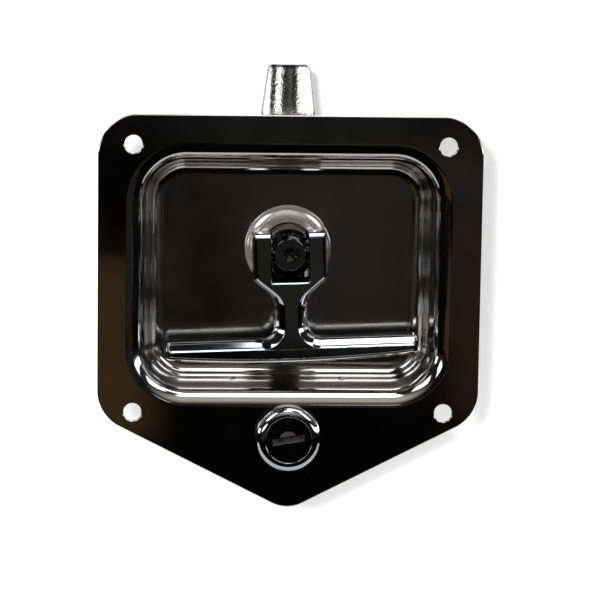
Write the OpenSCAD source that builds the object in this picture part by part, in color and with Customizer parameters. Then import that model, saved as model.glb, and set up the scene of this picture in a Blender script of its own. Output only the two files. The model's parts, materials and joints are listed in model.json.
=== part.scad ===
// Recessed T-handle latch: pressed pan, folding handle on a turning shaft, sliding bolt and key lock.
// X is right, Y goes into the panel and Z is up. The origin is the centre of the four mounting
// holes, on the back face of the flange. The handle is stored folded and the bolt is stored out.

/* [Flange] */
// Width across the straight sides
flange_width = 112.8; // [110:0.1:118]
// Height of the top edge above the hole centre
flange_top = 48.5; // [47.5:0.1:54]
// Depth below the hole centre where the two lower edges would meet
vee_drop = 69.5; // [68:0.5:74]
// Slope of the two lower edges
vee_angle = 27; // [24:0.5:30]
// Radius of the four side corners
corner_radius = 12; // [8:0.5:14]
// Radius of the bottom tip
tip_radius = 10; // [6:0.5:14]
// Thickness of the pressed sheet
sheet = 1.5; // [1.2:0.1:1.8]
// Distance between mounting holes across
hole_pitch_x = 92.1; // [90:0.1:96]
// Distance between mounting holes up
hole_pitch_z = 79.4; // [78:0.1:82]
// Diameter of a mounting hole
hole_d = 5.2; // [4.2:0.1:6]

/* [Pan] */
// Half width of the pan at its rim
rim_half_width = 48.2; // [46.5:0.1:48.8]
// Height of the upper rim
rim_top = 40.4; // [38.5:0.1:41]
// Depth of the lower rim below the hole centre
rim_bottom = 38.2; // [37:0.1:38.3]
// Corner radius of the rim
rim_corner = 17.8; // [17:0.1:19]
// Corner radius of the floor
floor_corner = 6.5; // [5:0.1:7]
// Depth of the floor below the front of the flange
pan_depth = 16; // [15:0.1:17]
// Radius of the bend at the rim, on the front
rim_bend = 5.5; // [4.5:0.1:6]
// Radius of the bend at the floor, on the front
floor_bend = 4.5; // [3.5:0.1:5]
// Distance between the two dimples in the lower wall
dimple_pitch = 33; // [24:0.5:40]
// Radius of a dimple
dimple_radius = 1.2; // [0.8:0.1:1.4]

/* [Handle] */
// Lean of the stored handle, anticlockwise from the front
handle_lean = 2.2; // [0:0.1:4]
// Height of the shaft axis
shaft_height = 7.4; // [6.6:0.1:8]
// Gap from the bushing face to the pin axis
pin_stand = 6.8; // [6.7:0.1:7.5]
// Radius of the fork arms around the pin
arm_round = 6.4; // [5.8:0.1:6.4]
// Width of one fork arm
arm_width = 5.4; // [4.5:0.1:6]
// Bevel along the front of the fork arms
arm_bevel = 1.3; // [1:0.1:1.6]
// Gap between the fork arms
fork_gap = 11; // [10.6:0.1:11.4]
// Distance from the pin axis to the bottom of the fork
fork_depth = 8; // [8:0.1:8.6]
// Radius where the fork runs into the stem
neck_round = 4; // [3:0.1:5]
// Width of the stem
stem_width = 10; // [9:0.1:11]
// Bevel along the front of the stem
stem_bevel = 3.3; // [2:0.1:3.6]
// Distance from the pin axis to the top of the grip bar
bar_drop = 25.4; // [24.5:0.1:26.5]
// Height of the grip bar at its middle
bar_height = 6.9; // [6:0.1:8]
// How much the lower edge of the bar rises towards its ends
bar_bow = 1.7; // [1:0.1:3]
// Length of the grip bar
bar_length = 74.5; // [66:0.5:76]
// Depth of the grip bar from front to back
bar_depth = 7.8; // [7:0.1:8.4]
// Bevel along the edges of the grip bar
bar_bevel = 1.6; // [1:0.1:2]
// Radius between the stem and the bar
bar_fillet = 4.2; // [3:0.1:5]
// Diameter of the pivot pin
pin_d = 5; // [4:0.1:6]

/* [Shaft] */
// Diameter of the shaft
shaft_d = 15.9; // [15:0.1:16.4]
// Width of the tongue between its flats
tongue_width = 10; // [9:0.1:10]
// Diameter of the bushing flange
bushing_d = 25.8; // [25:0.1:26.4]
// Diameter of the flat face of the bushing
bushing_face_d = 20.6; // [20:0.1:21]
// Height of the bushing above the pan floor
bushing_rise = 2.5; // [2.2:0.1:3]
// Outside diameter of the bushing sleeve
sleeve_d = 19; // [18.4:0.1:20]
// Thickness of the crank plate
crank_thick = 3; // [2.5:0.1:3.5]
// Turn of the shaft, in degrees
shaft_turn = 80; // [70:1:84]
// Width of the square that drives the crank
square_width = 10; // [9:0.1:10.4]
// Diameter of the threaded end
thread_d = 8; // [6:0.1:8.4]
// Diameter of the crank stud
stud_d = 5; // [4:0.1:5.4]
// Diameter of the roller on the stud
roller_d = 6.8; // [6.6:0.1:7.4]

/* [Bolt] */
// Travel of the bolt
bolt_travel = 14; // [13:0.1:14.4]
// Width of the bolt
bolt_width = 15.9; // [15:0.1:17]
// Depth of the bolt from front to back
bolt_depth = 14.2; // [14:0.1:15]
// Height of the end of the bolt
bolt_top = 61.9; // [60.5:0.1:62.5]
// Radius of the bowed front of the bolt
bolt_bow = 10; // [9.5:0.1:14]
// Side taper of the nose, in degrees
nose_taper = 6.5; // [3:0.5:8]
// Front slope of the nose, in degrees
nose_draft = 5; // [2:0.5:6]
// Radius of the nose corners
nose_round = 1.7; // [1:0.1:2.5]
// Thickness of the foot plate of the bolt
foot_thick = 4; // [3.6:0.1:4.4]
// Thickness of the guide and anchor sheet
guide_sheet = 1.6; // [1.2:0.1:2]
// Wire diameter of the spring
wire_d = 0.9; // [0.7:0.1:1.1]
// Outside diameter of the spring
spring_d = 6.4; // [6.2:0.1:7]

/* [Lock] */
// Depth of the lock axis below the hole centre
lock_drop = 46.9; // [46.6:0.1:47.6]
// Diameter of the lock head
lock_head_d = 19.6; // [19:0.05:20]
// Diameter of the flat lock face
lock_face_d = 14.2; // [14:0.1:14.6]
// Height of the lock head above the flange
lock_rise = 5.5; // [5:0.1:7]
// Diameter of the threaded barrel
barrel_d = 15.5; // [15:0.1:15.8]
// Diameter of the key plug
plug_d = 12.2; // [11.5:0.1:12.3]
// Diameter of the head of the key plug
plug_head_d = 13.5; // [13:0.1:13.6]
// Length of the key slot
slot_length = 9.4; // [8:0.1:10]
// Width of the key slot
slot_width = 1.9; // [1.5:0.1:2.4]
// Tilt of the key slot, anticlockwise from level
slot_tilt = 9; // [0:1:15]
// Thickness of the lock cam
cam_thick = 2.5; // [2:0.1:2.8]

/* [Clearances] */
// Radial clearance of turning fits
run_fit = 0.06; // [0.03:0.01:0.09]
// Clearance beside sliding parts
slide_fit = 0.25; // [0.2:0.01:0.35]
// Clearance of the roller in its slot
roller_fit = 0.4; // [0.35:0.01:0.5]
// Clearance between swinging parts
swing_fit = 0.6; // [0.5:0.05:0.8]

/* [Hidden] */
fine = 96;
front = -sheet;
floor_front = front + pan_depth;
floor_back = floor_front + sheet;
half_width = flange_width / 2;
corner_x = rim_half_width - rim_corner;
corner_top = rim_top - rim_corner;
corner_bottom = rim_corner - rim_bottom;
// Bend centres of the pan wall, as distance from the corner centre and depth
floor_centre = [floor_corner, floor_front - floor_bend];
rim_centre = [rim_corner, front + rim_bend];
bend_span = rim_centre - floor_centre;
wall_turn = asin((floor_bend + rim_bend) / norm(bend_span));
wall_line = atan2(bend_span[1], bend_span[0]) - wall_turn;
wall_tilt = wall_line + 90;
wall_out = [cos(wall_tilt), sin(wall_tilt)];
dimple_at = floor_centre + floor_bend * wall_out + 0.8 * [cos(wall_line), sin(wall_line)];

bushing_face = floor_front - bushing_rise;
pin_y = bushing_face - pin_stand;
fork_half = fork_gap / 2 + arm_width;
stem_half = stem_width / 2;
stem_front = stem_half - stem_bevel;
shoulder = -fork_depth + 1.2;
neck = -fork_depth - 3.6;
neck_slope = atan2(fork_half - stem_half, shoulder - neck);
bar_half = bar_length / 2;
bar_rear = bar_depth - arm_round;
bar_low = -bar_drop - bar_height;
bar_arc = (bar_half * bar_half + bar_bow * bar_bow) / (2 * bar_bow);
pin_r = pin_d / 2;

shaft_r = shaft_d / 2;
tongue_half = tongue_width / 2;
tongue_r = fork_depth - swing_fit;
tongue_face = tongue_r - 1.5;
mark_r = 6;
mark_depth = 0.35;
flat_step = 0.3;
flat_end = bushing_face + flat_step;
sleeve_r = sleeve_d / 2;
ring_thick = 1.2;
ring_r = sleeve_r + 2.7;
sleeve_end = floor_back + ring_thick;
wave_thick = 0.95;
crank_front = sleeve_end + wave_thick + 0.05;
crank_back = crank_front + crank_thick;
shaft_washer_thick = 0.7;
shaft_washer_r = thread_d / 2 + 3.2;
nut_front = crank_back + shaft_washer_thick;
nut_flats = 13;
nut_thick = 3.8;
nut_chamfer = 0.7;
shaft_end = nut_front + nut_thick + 0.4;
hub_r = 9;
arm_end_r = 5.5;
crank_radius = bolt_travel / (2 * sin(shaft_turn / 2));
crank_angle = shaft_turn / 2 - handle_lean;
stop_r = 2;
stop_foot_r = 3;
stop_foot = 0.8;
stop_gap = 0.4;
// Bearing of the stop from the end of the crank, below level, when the turn ends
stop_bearing = 80;
stop_reach = arm_end_r + stop_r + stop_gap;
stop_x = crank_radius * cos(shaft_turn / 2) + stop_reach * cos(stop_bearing);
stop_z = shaft_height - crank_radius * sin(shaft_turn / 2) - stop_reach * sin(stop_bearing);

bolt_half = bolt_width / 2;
bolt_front = floor_back + 0.3;
bolt_rear = bolt_front + bolt_depth;
foot_front = bolt_rear - foot_thick;
slot_z = shaft_height + bolt_travel / 2;
slot_high = roller_d + 2 * roller_fit;
foot_edge_low = 3.4;
foot_edge_high = 3;
foot_low = slot_z - slot_high / 2 - foot_edge_low;
foot_high = slot_z + slot_high / 2 + foot_edge_high;
foot_half = 17.5;
spring_arm = 7;
spring_arm_end = 3.2;
arm_low = foot_high - spring_arm;
block_gap = 1;
block_low = shaft_height + ring_r + bolt_travel + block_gap;
taper_low = flange_top - 2;
nose_length = bolt_top + 2 - taper_low;
nose_bow = bolt_bow - nose_length * tan(nose_draft);
nose_z = bolt_top - nose_round;
nose_x = bolt_half - (nose_z - taper_low) * tan(nose_taper) - nose_round / cos(nose_taper);
guide_low = foot_high + 0.4;
guide_high = flange_top - 6;
guide_half = bolt_half + slide_fit;
guide_back = bolt_rear + slide_fit;
guide_bend = 0.5;
guide_foot = 21;
window_half = 3;
window_low = 6;
window_high = 5;
weld_x = 15.4;
weld_r = 1.9;
weld_pit = 0.25;
foot_line = rim_top - rim_corner + floor_corner - 0.3;

spring_x = -13;
spring_y = foot_front + foot_thick / 2;
spring_r = (spring_d - wire_d) / 2;
spring_length = 24;
seat_z = arm_low - spring_length;
coils = 6;
anchor_half = 4.8;
anchor_bend = 1;
anchor_leg = 12;
anchor_lip = 2.4;
anchor_weld = 8;
peg_r = 2;
peg_neck = peg_r - 0.5;
peg_length = 6;
peg_rivet = 0.6;

lock_z = -lock_drop;
lock_front = front - lock_rise;
head_r = lock_head_d / 2;
head_round = head_r - lock_face_d / 2;
barrel_r = barrel_d / 2;
plug_r = plug_d / 2;
plug_head_r = plug_head_d / 2;
plug_head_gap = 0.12;
plug_head_seat = lock_front + 1.4;
barrel_end = floor_back + 1.8;
cam_front = barrel_end + 0.5;
cam_back = cam_front + cam_thick;
tang_half = 3.2;
// Distance from the shaft axis to the tip of the cam
cam_stand = 16.2;
cam_reach = lock_drop + shaft_height - cam_stand;
cam_tip_r = 4.5;
cam_hub_r = 7;
washer_thick = 0.8;
lock_nut_flats = 20;
lock_nut_thick = 3.5;

// Extrusions along each axis: the flat shape is drawn as (y, z), (x, z) or (x, y)
module along_x(x0, x1) {
    translate([x0, 0, 0]) rotate([90, 0, 90]) linear_extrude(height = x1 - x0) children();
}

module along_y(y0, y1) {
    translate([0, y1, 0]) rotate([90, 0, 0]) linear_extrude(height = y1 - y0) children();
}

module along_z(z0, z1) {
    translate([0, 0, z0]) linear_extrude(height = z1 - z0) children();
}

// Body of revolution about Y: the flat shape is drawn as (radius, y)
module turned() {
    rotate([-90, 0, 0]) rotate_extrude($fn = fine) children();
}

module rod_x(r, x0, x1) {
    translate([x0, 0, 0]) rotate([0, 90, 0]) cylinder(r = r, h = x1 - x0, $fn = fine);
}

module rod_y(r, y0, y1) {
    translate([0, y0, 0]) rotate([-90, 0, 0]) cylinder(r = r, h = y1 - y0, $fn = fine);
}

module rod_z(r, z0, z1) {
    translate([0, 0, z0]) cylinder(r = r, h = z1 - z0, $fn = fine);
}

// Slice of a disc between two angles, under 150 degrees apart
module sector(r, a0, a1) {
    mid = (a0 + a1) / 2;
    reach = 2 * r;
    intersection() {
        circle(r = r, $fn = fine);
        polygon([[0, 0], reach * [cos(a0), sin(a0)], 1.5 * reach * [cos(mid), sin(mid)],
            reach * [cos(a1), sin(a1)]]);
    }
}

module ring_sector(r0, r1, a0, a1) {
    difference() {
        sector(r1, a0, a1);
        circle(r = r0, $fn = fine);
    }
}

module box2(x0, y0, x1, y1) {
    translate([x0, y0]) square([x1 - x0, y1 - y0]);
}

module rounded_box2(x0, y0, x1, y1, r) {
    box2(x0 + r, y0, x1 - r, y1);
    box2(x0, y0 + r, x0 + r, y1 - r);
    box2(x1 - r, y0 + r, x1, y1 - r);
    translate([x1 - r, y1 - r]) sector(r, 0, 90);
    translate([x0 + r, y1 - r]) sector(r, 90, 180);
    translate([x0 + r, y0 + r]) sector(r, 180, 270);
    translate([x1 - r, y0 + r]) sector(r, 270, 360);
}

// Lever outline: a hub at the origin, a straight arm and a smaller round end along X
module lever2(r0, r1, reach) {
    circle(r = r0, $fn = fine);
    box2(0, -0.9 * r1, reach, 0.9 * r1);
    translate([reach, 0]) circle(r = r1, $fn = fine);
}

// Points along an arc
function arc_points(centre, r, a0, a1, count) = [
    for (i = [0 : count])
        let (a = a0 + (a1 - a0) * i / count)
            [centre[0] + r * cos(a), centre[1] + r * sin(a)]];

// Stepped outline of a rolled thread, from y0 to y1
function thread_points(r, depth, pitch, y0, y1) = [
    for (i = [0 : floor((y1 - y0) / pitch) - 1])
        for (p = [[r - depth, 0.1], [r, 0.42], [r, 0.58], [r - depth, 0.9]])
            [p[0], y0 + (i + p[1]) * pitch]];

module threaded(r, depth, pitch, y0, y1) {
    turned() polygon(concat([[0, y0], [r - depth, y0]], thread_points(r, depth, pitch, y0, y1),
        [[r - depth, y1], [0, y1]]));
}

// Places a shape on the shaft axis, leaning with the stored handle
module on_shaft() {
    translate([0, 0, shaft_height]) rotate([0, -handle_lean, 0]) children();
}

module on_lock() {
    translate([0, 0, lock_z]) children();
}

// Flange outline: straight sides, round shoulders and a shallow vee below
module flange_outline() {
    r = corner_radius;
    v = vee_angle;
    cx = half_width - r;
    low = (r + cx * sin(v)) / cos(v) - vee_drop;
    tip = tip_radius / cos(v) - vee_drop;
    polygon([[-cx, flange_top], [cx, flange_top], [cx, flange_top - r], [half_width, flange_top - r],
        [half_width, low], [cx, low], [cx + r * sin(v), low - r * cos(v)],
        [tip_radius * sin(v), tip - tip_radius * cos(v)], [0, tip],
        [-tip_radius * sin(v), tip - tip_radius * cos(v)],
        [-cx - r * sin(v), low - r * cos(v)], [-cx, low], [-half_width, low],
        [-half_width, flange_top - r], [-cx, flange_top - r]]);
    translate([cx, flange_top - r]) sector(r, 0, 90);
    translate([-cx, flange_top - r]) sector(r, 90, 180);
    translate([cx, low]) sector(r, v - 90, 0);
    translate([-cx, low]) sector(r, 180, 270 - v);
    translate([0, tip]) sector(tip_radius, 270 - v, 270 + v);
}

// Section of the pan wall: floor bend, drafted wall and rim bend, as (distance, depth)
module wall_section() {
    translate(floor_centre) ring_sector(floor_bend, floor_bend + sheet, wall_tilt, 90);
    translate(rim_centre) ring_sector(rim_bend - sheet, rim_bend, 180 + wall_tilt, 270);
    polygon([floor_centre + floor_bend * wall_out, rim_centre - rim_bend * wall_out,
        rim_centre - (rim_bend - sheet) * wall_out, floor_centre + (floor_bend + sheet) * wall_out]);
}

module pan_wall() {
    for (side = [0, 1]) {
        mirror([side, 0, 0]) translate([corner_x, 0, 0]) along_z(corner_bottom, corner_top) wall_section();
        mirror([side, 0, 0]) translate([corner_x, 0, corner_bottom])
            rotate([-90, 0, 0]) rotate_extrude(angle = 90, $fn = fine) wall_section();
        mirror([side, 0, 0]) translate([corner_x, 0, corner_top]) mirror([0, 0, 1])
            rotate([-90, 0, 0]) rotate_extrude(angle = 90, $fn = fine) wall_section();
    }
    translate([0, 0, corner_top]) rotate([0, -90, 0]) along_z(-corner_x, corner_x) wall_section();
    translate([0, 0, corner_bottom]) mirror([0, 0, 1]) rotate([0, -90, 0])
        along_z(-corner_x, corner_x) wall_section();
}

module pan() color([0.62, 0.63, 0.65]) {
    along_y(front, 0) difference() {
        flange_outline();
        rounded_box2(-rim_half_width, -rim_bottom, rim_half_width, rim_top, rim_corner);
        for (x = [-1, 1], z = [-1, 1])
            translate([x * hole_pitch_x / 2, z * hole_pitch_z / 2]) circle(d = hole_d, $fn = fine);
        translate([0, lock_z]) circle(r = barrel_r + 0.15, $fn = fine);
    }
    pan_wall();
    along_y(floor_front, floor_back) difference() {
        rounded_box2(-corner_x - floor_corner, corner_bottom - floor_corner,
            corner_x + floor_corner, corner_top + floor_corner, floor_corner);
        translate([0, shaft_height]) circle(r = sleeve_r + 0.05, $fn = fine);
    }
    for (x = [-1, 1])
        translate([x * dimple_pitch / 2, dimple_at[1], corner_bottom - dimple_at[0]]) rotate([wall_tilt, 0, 0])
            translate([0, 0, -0.4])
                cylinder(r1 = dimple_radius + 0.3, r2 = dimple_radius / 2, h = 1.1, $fn = 48);
}

// Flanged bushing: thin base ring, round shoulder and flat face, with the sleeve behind
module shaft_bushing() color([0.55, 0.55, 0.53]) translate([0, 0, shaft_height]) turned() {
    bore = shaft_r + run_fit;
    face = bushing_face_d / 2;
    round = 1.4;
    base = bushing_face + round;
    box2(bore, bushing_face, face, base);
    translate([face, base]) sector(round, 270, 360);
    polygon([[bore, base], [bushing_d / 2 - 0.3, base], [bushing_d / 2, base + 0.3],
        [bushing_d / 2, floor_front], [bore, floor_front]]);
    box2(bore, floor_front, sleeve_r, sleeve_end);
}

module bushing_ring() color([0.35, 0.36, 0.37]) translate([0, 0, shaft_height])
    along_y(floor_back, sleeve_end) difference() {
        circle(r = ring_r, $fn = fine);
        circle(r = sleeve_r + 0.05, $fn = fine);
        for (a = [90, 210, 330])
            rotate(a) translate([sleeve_r + 1.6, -1]) square([3, 2]);
    }

// Shaft: flat tongue with a faced ball end, round journal, square and threaded end
module handle_shaft() color([0.4, 0.4, 0.41]) on_shaft() difference() {
    union() {
        intersection() {
            turned() {
                translate([0, pin_y]) sector(tongue_r, 270, 360);
                box2(0, pin_y, tongue_r, flat_end);
            }
            along_x(-tongue_half, tongue_half)
                box2(pin_y - tongue_face, -shaft_r, flat_end + 1, shaft_r);
        }
        rod_y(shaft_r, flat_end, crank_front);
        along_y(crank_front, crank_back) square(square_width, center = true);
        threaded(thread_d / 2, 0.5, 1.25, crank_back, shaft_end);
    }
    translate([0, pin_y, 0]) rod_x(pin_r + run_fit, -shaft_r, shaft_r);
    translate([0, pin_y - tongue_face - mark_r + mark_depth, 0]) sphere(r = mark_r, $fn = fine);
}

module pivot_pin() color([0.5, 0.5, 0.5]) on_shaft()
    translate([0, pin_y, 0]) rod_x(pin_r, -fork_half + 0.2, fork_half - 0.2);

// Side outline of the handle: bevelled top in front, round behind the pin, tapering down to the bar
module handle_side() {
    sector(arm_round, 0, 90);
    polygon([[0, arm_round], [arm_bevel - arm_round, arm_round], [-arm_round, arm_round - arm_bevel],
        [-arm_round, bar_low - 9], [bar_rear, bar_low - 9], [bar_rear, -bar_drop + 5], [arm_round, -6],
        [arm_round, 0], [0, 0]]);
}

// Prism section with a bevelled front edge: its side is at x = 0, with the metal at negative x
module bevelled_front(bevel) {
    polygon([[-3 * fork_half, arm_round + 1], [0, arm_round + 1], [0, bevel - arm_round],
        [-bevel, -arm_round], [-3 * fork_half, -arm_round]]);
}

// Round cutter that leaves a bevelled front edge around it
module bevelled_hollow(r, back) {
    turned() polygon([[0, -arm_round - 1], [r + stem_bevel + 1, -arm_round - 1], [r, stem_bevel - arm_round],
        [r, back + 1], [0, back + 1]]);
}

// Right half of the fork's outside: a bevelled arm above a bevelled slope
module fork_side() {
    intersection() {
        translate([fork_half, 0, 0]) along_z(-40, 10) bevelled_front(arm_bevel);
        translate([fork_half, 0, shoulder]) rotate([0, neck_slope, 0])
            along_z(-40, 40) bevelled_front(stem_bevel);
    }
}

module handle_fork() {
    intersection() {
        along_x(-fork_half - 1, fork_half + 1) handle_side();
        fork_side();
        mirror([1, 0, 0]) fork_side();
    }
}

// Fillet between a slope of the fork and the stem, bevelled like both
module handle_neck() {
    root = neck - neck_round * tan(neck_slope / 2);
    lean = [-cos(neck_slope), sin(neck_slope)];
    centre = [stem_half + neck_round, root];
    for (side = [0, 1])
        mirror([side, 0, 0]) intersection() {
            along_x(0, fork_half) handle_side();
            difference() {
                along_y(-arm_round - 1, arm_round + 1)
                    polygon([[stem_front / 2, root], [stem_half, root], centre + neck_round * lean,
                        centre + (neck_round + stem_bevel + 0.5) * lean]);
                translate([centre[0], 0, root]) bevelled_hollow(neck_round, arm_round + 1);
            }
        }
}

module handle_stem() {
    intersection() {
        along_z(-bar_drop - 2, -fork_depth - 0.4)
            polygon([[-stem_half, 9], [-stem_half, stem_bevel - arm_round], [-stem_front, -arm_round],
                [stem_front, -arm_round], [stem_half, stem_bevel - arm_round], [stem_half, 9]]);
        along_x(-stem_half - 1, stem_half + 1) handle_side();
    }
    for (side = [0, 1])
        mirror([side, 0, 0]) difference() {
            along_z(-bar_drop - stem_bevel, -bar_drop + bar_fillet)
                box2(stem_front, -arm_round, stem_half + bar_fillet, bar_rear - bar_bevel);
            translate([stem_half + bar_fillet, 0, -bar_drop + bar_fillet])
                bevelled_hollow(bar_fillet, bar_rear);
        }
}

// Grip bar: bevelled on every edge, with a bowed lower edge
module handle_bar() {
    b = bar_bevel;
    top = -bar_drop;
    tip_low = bar_low + bar_bow;
    intersection() {
        along_y(-arm_round - 1, bar_rear + 1)
            polygon([[-bar_half + 4, bar_low - 9], [bar_half - 4, bar_low - 9],
                [bar_half - 1.6, tip_low - 0.2], [bar_half, tip_low + 1.3], [bar_half, top - 1.2],
                [bar_half - 1.2, top + 1], [-bar_half + 1.2, top + 1], [-bar_half, top - 1.2],
                [-bar_half, tip_low + 1.3], [-bar_half + 1.6, tip_low - 0.2]]);
        along_x(-bar_half - 1, bar_half + 1)
            polygon([[-arm_round - 1, bar_low - 9], [bar_rear + 1, bar_low - 9],
                [bar_rear + 1, top - b - 1], [bar_rear - b, top], [b - arm_round, top],
                [-arm_round - 1, top - b - 1]]);
        translate([0, 0, bar_low + bar_arc]) rotate([-90, 0, 0])
            rotate_extrude(angle = 24, start = 78, $fn = 360)
                polygon([[bar_arc - 14, -arm_round], [bar_arc - b, -arm_round], [bar_arc, b - arm_round],
                    [bar_arc, bar_rear - b], [bar_arc - b, bar_rear], [bar_arc - 14, bar_rear]]);
    }
}

module t_handle() color([0.08, 0.08, 0.09]) on_shaft() translate([0, pin_y, 0]) difference() {
    union() {
        handle_fork();
        handle_neck();
        handle_stem();
        handle_bar();
    }
    along_z(-fork_depth, 10) box2(-fork_gap / 2, -9, fork_gap / 2, 9);
    rod_x(pin_r + run_fit, -fork_half - 1, fork_half + 1);
}

module wave_washer() color([0.45, 0.45, 0.46]) translate([0, 0, shaft_height])
    along_y(crank_front - wave_thick, crank_front) difference() {
        circle(r = shaft_r + 3.4, $fn = fine);
        circle(r = shaft_r + 0.3, $fn = fine);
    }

module drive_crank() color([0.66, 0.62, 0.5]) on_shaft()
    along_y(crank_front, crank_back) difference() {
        rotate(crank_angle) lever2(hub_r, arm_end_r, crank_radius);
        square(square_width + 0.1, center = true);
        rotate(crank_angle) translate([crank_radius, 0]) circle(r = stud_d / 2 - 0.45, $fn = fine);
    }

// Places a shape on the crank stud axis
module on_stud() {
    on_shaft() rotate([0, -crank_angle, 0]) translate([crank_radius, 0, 0]) children();
}

module crank_stud() color([0.55, 0.55, 0.56]) on_stud() {
    rod_y(stud_d / 2 - 0.5, crank_front, crank_back);
    rod_y(stud_d / 2 + 0.9, crank_back, foot_front - 0.2);
    rod_y(stud_d / 2, foot_front - 0.2, bolt_rear + 1.1);
}

module stud_roller() color([0.7, 0.6, 0.35]) on_stud()
    along_y(foot_front - 0.2, bolt_rear + 0.1) difference() {
        circle(d = roller_d, $fn = fine);
        circle(r = stud_d / 2 + run_fit, $fn = fine);
    }

module stud_clip() color([0.3, 0.3, 0.32]) on_stud()
    along_y(bolt_rear + 0.2, bolt_rear + 0.9) difference() {
        circle(r = stud_d / 2 + 2.3, $fn = fine);
        circle(r = stud_d / 2 + 0.05, $fn = fine);
        translate([0, -0.9]) square([6, 1.8]);
    }

module shaft_washer() color([0.6, 0.6, 0.58]) translate([0, 0, shaft_height])
    along_y(crank_back, nut_front) difference() {
        circle(r = shaft_washer_r, $fn = fine);
        circle(r = thread_d / 2 + 0.2, $fn = fine);
    }

// Hexagon nut with turned corners
module hex_nut(flats, bore, y0, y1) {
    corner = flats / sqrt(3);
    difference() {
        intersection() {
            translate([0, y0, 0]) rotate([-90, 0, 0]) cylinder(r = corner, h = y1 - y0, $fn = 6);
            turned() polygon([[0, y0], [flats / 2 + 0.2, y0], [corner + 0.4, y0 + nut_chamfer],
                [corner + 0.4, y1 - nut_chamfer], [flats / 2 + 0.2, y1], [0, y1]]);
        }
        rod_y(bore, y0 - 1, y1 + 1);
    }
}

module shaft_nut() color([0.66, 0.66, 0.64]) translate([0, 0, shaft_height])
    hex_nut(nut_flats, thread_d / 2 + 0.05, nut_front, nut_front + nut_thick);

// Stud that ends the turn of the crank
module turn_stop() color([0.5, 0.5, 0.5]) translate([stop_x, 0, stop_z]) {
    rod_y(stop_foot_r, floor_back, floor_back + stop_foot);
    rod_y(stop_r, floor_back + stop_foot, crank_back - 0.2);
}

// Hat-shaped guide welded to the back of the pan floor
module bolt_guide() color([0.68, 0.66, 0.58]) {
    outer = guide_bend + guide_sheet;
    difference() {
        union() {
            along_z(guide_low, guide_high) {
                for (side = [0, 1]) mirror([side, 0]) {
                    box2(guide_half, floor_back, guide_half + guide_sheet, guide_back - guide_bend);
                    translate([guide_half - guide_bend, guide_back - guide_bend])
                        ring_sector(guide_bend, outer, 0, 90);
                    box2(0, guide_back, guide_half - guide_bend, guide_back + guide_sheet);
                }
            }
            along_z(guide_low, foot_line) for (side = [0, 1]) mirror([side, 0])
                box2(guide_half + guide_sheet, floor_back, guide_foot, floor_back + guide_sheet);
        }
        for (x = [-weld_x, weld_x])
            translate([x, 0, (guide_low + foot_line) / 2])
                rod_y(weld_r, floor_back + guide_sheet - weld_pit, floor_back + guide_sheet + 1);
        along_y(guide_back - 1, guide_back + guide_sheet + 1)
            rounded_box2(-window_half, guide_low + window_low, window_half, guide_high - window_high,
                window_half - 0.1);
    }
}

// Bolt: tapered nose with a bowed front and a slam bevel behind, and a slotted foot plate
module latch_bolt() color([0.72, 0.72, 0.7]) {
    v = nose_taper;
    intersection() {
        along_y(bolt_front - 1, bolt_rear + 1)
            polygon(concat([[-bolt_half, taper_low], [-bolt_half, block_low - 1], [bolt_half, block_low - 1],
                [bolt_half, taper_low]], arc_points([nose_x, nose_z], nose_round, v, 90, 6),
                arc_points([-nose_x, nose_z], nose_round, 90, 180 - v, 6)));
        along_x(-bolt_half - 1, bolt_half + 1)
            polygon([[bolt_front - 1, block_low], [bolt_rear, block_low], [bolt_rear, flange_top - 1],
                [bolt_rear - 9, bolt_top + 0.5], [bolt_front - 1, bolt_top + 0.5]]);
        translate([0, bolt_front + bolt_bow, 0]) {
            rod_z(bolt_bow, block_low - 2, taper_low);
            translate([0, 0, taper_low]) cylinder(r1 = bolt_bow, r2 = nose_bow, h = nose_length, $fn = fine);
        }
    }
    along_y(foot_front, bolt_rear) difference() {
        union() {
            box2(-bolt_half, foot_high - 1, bolt_half, block_low + 2);
            polygon([[-foot_half, arm_low], [spring_arm_end, arm_low], [spring_arm_end, foot_low],
                [foot_half, foot_low], [foot_half, foot_high], [-foot_half, foot_high]]);
        }
        rounded_box2(crank_radius * cos(shaft_turn / 2) - roller_d / 2 - 0.5, slot_z - slot_high / 2,
            crank_radius + roller_d / 2 + 0.6, slot_z + slot_high / 2, slot_high / 2 - 0.1);
    }
}

// Coil spring drawn as a swept ring of points
module bolt_spring() color([0.6, 0.6, 0.62]) {
    ring = 8;
    steps = 20 * coils;
    low = seat_z + wire_d / 2 + 0.02;
    rise = arm_low - seat_z - wire_d - 0.04;
    points = [for (i = [0 : steps], j = [0 : ring - 1])
        let (a = 360 * coils * i / steps, b = 360 * j / ring, r = spring_r + wire_d / 2 * cos(b))
            [r * cos(a), r * sin(a), low + rise * i / steps + wire_d / 2 * sin(b)]];
    sides = [for (i = [0 : steps - 1], j = [0 : ring - 1])
        let (k = (j + 1) % ring)
            [i * ring + j, (i + 1) * ring + j, (i + 1) * ring + k, i * ring + k]];
    ends = [[for (j = [0 : ring - 1]) j], [for (j = [0 : ring - 1]) steps * ring + ring - 1 - j]];
    translate([spring_x, spring_y, 0]) polyhedron(points = points, faces = concat(sides, ends));
}

// Bent bracket under the spring
module spring_anchor() color([0.68, 0.66, 0.58]) difference() {
    union() {
        along_x(spring_x - anchor_half, spring_x + anchor_half) {
            bend = anchor_bend + guide_sheet;
            box2(floor_back, seat_z - anchor_leg, floor_back + guide_sheet, seat_z - bend);
            translate([floor_back + bend, seat_z - bend]) ring_sector(anchor_bend, bend, 90, 180);
            box2(floor_back + bend, seat_z - guide_sheet, bolt_rear + anchor_lip, seat_z);
        }
    }
    translate([spring_x, spring_y, 0]) rod_z(peg_neck + 0.05, seat_z - 4, seat_z + 1);
    translate([spring_x, 0, seat_z - anchor_weld])
        rod_y(weld_r, floor_back + guide_sheet - weld_pit, floor_back + guide_sheet + 1);
}

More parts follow.
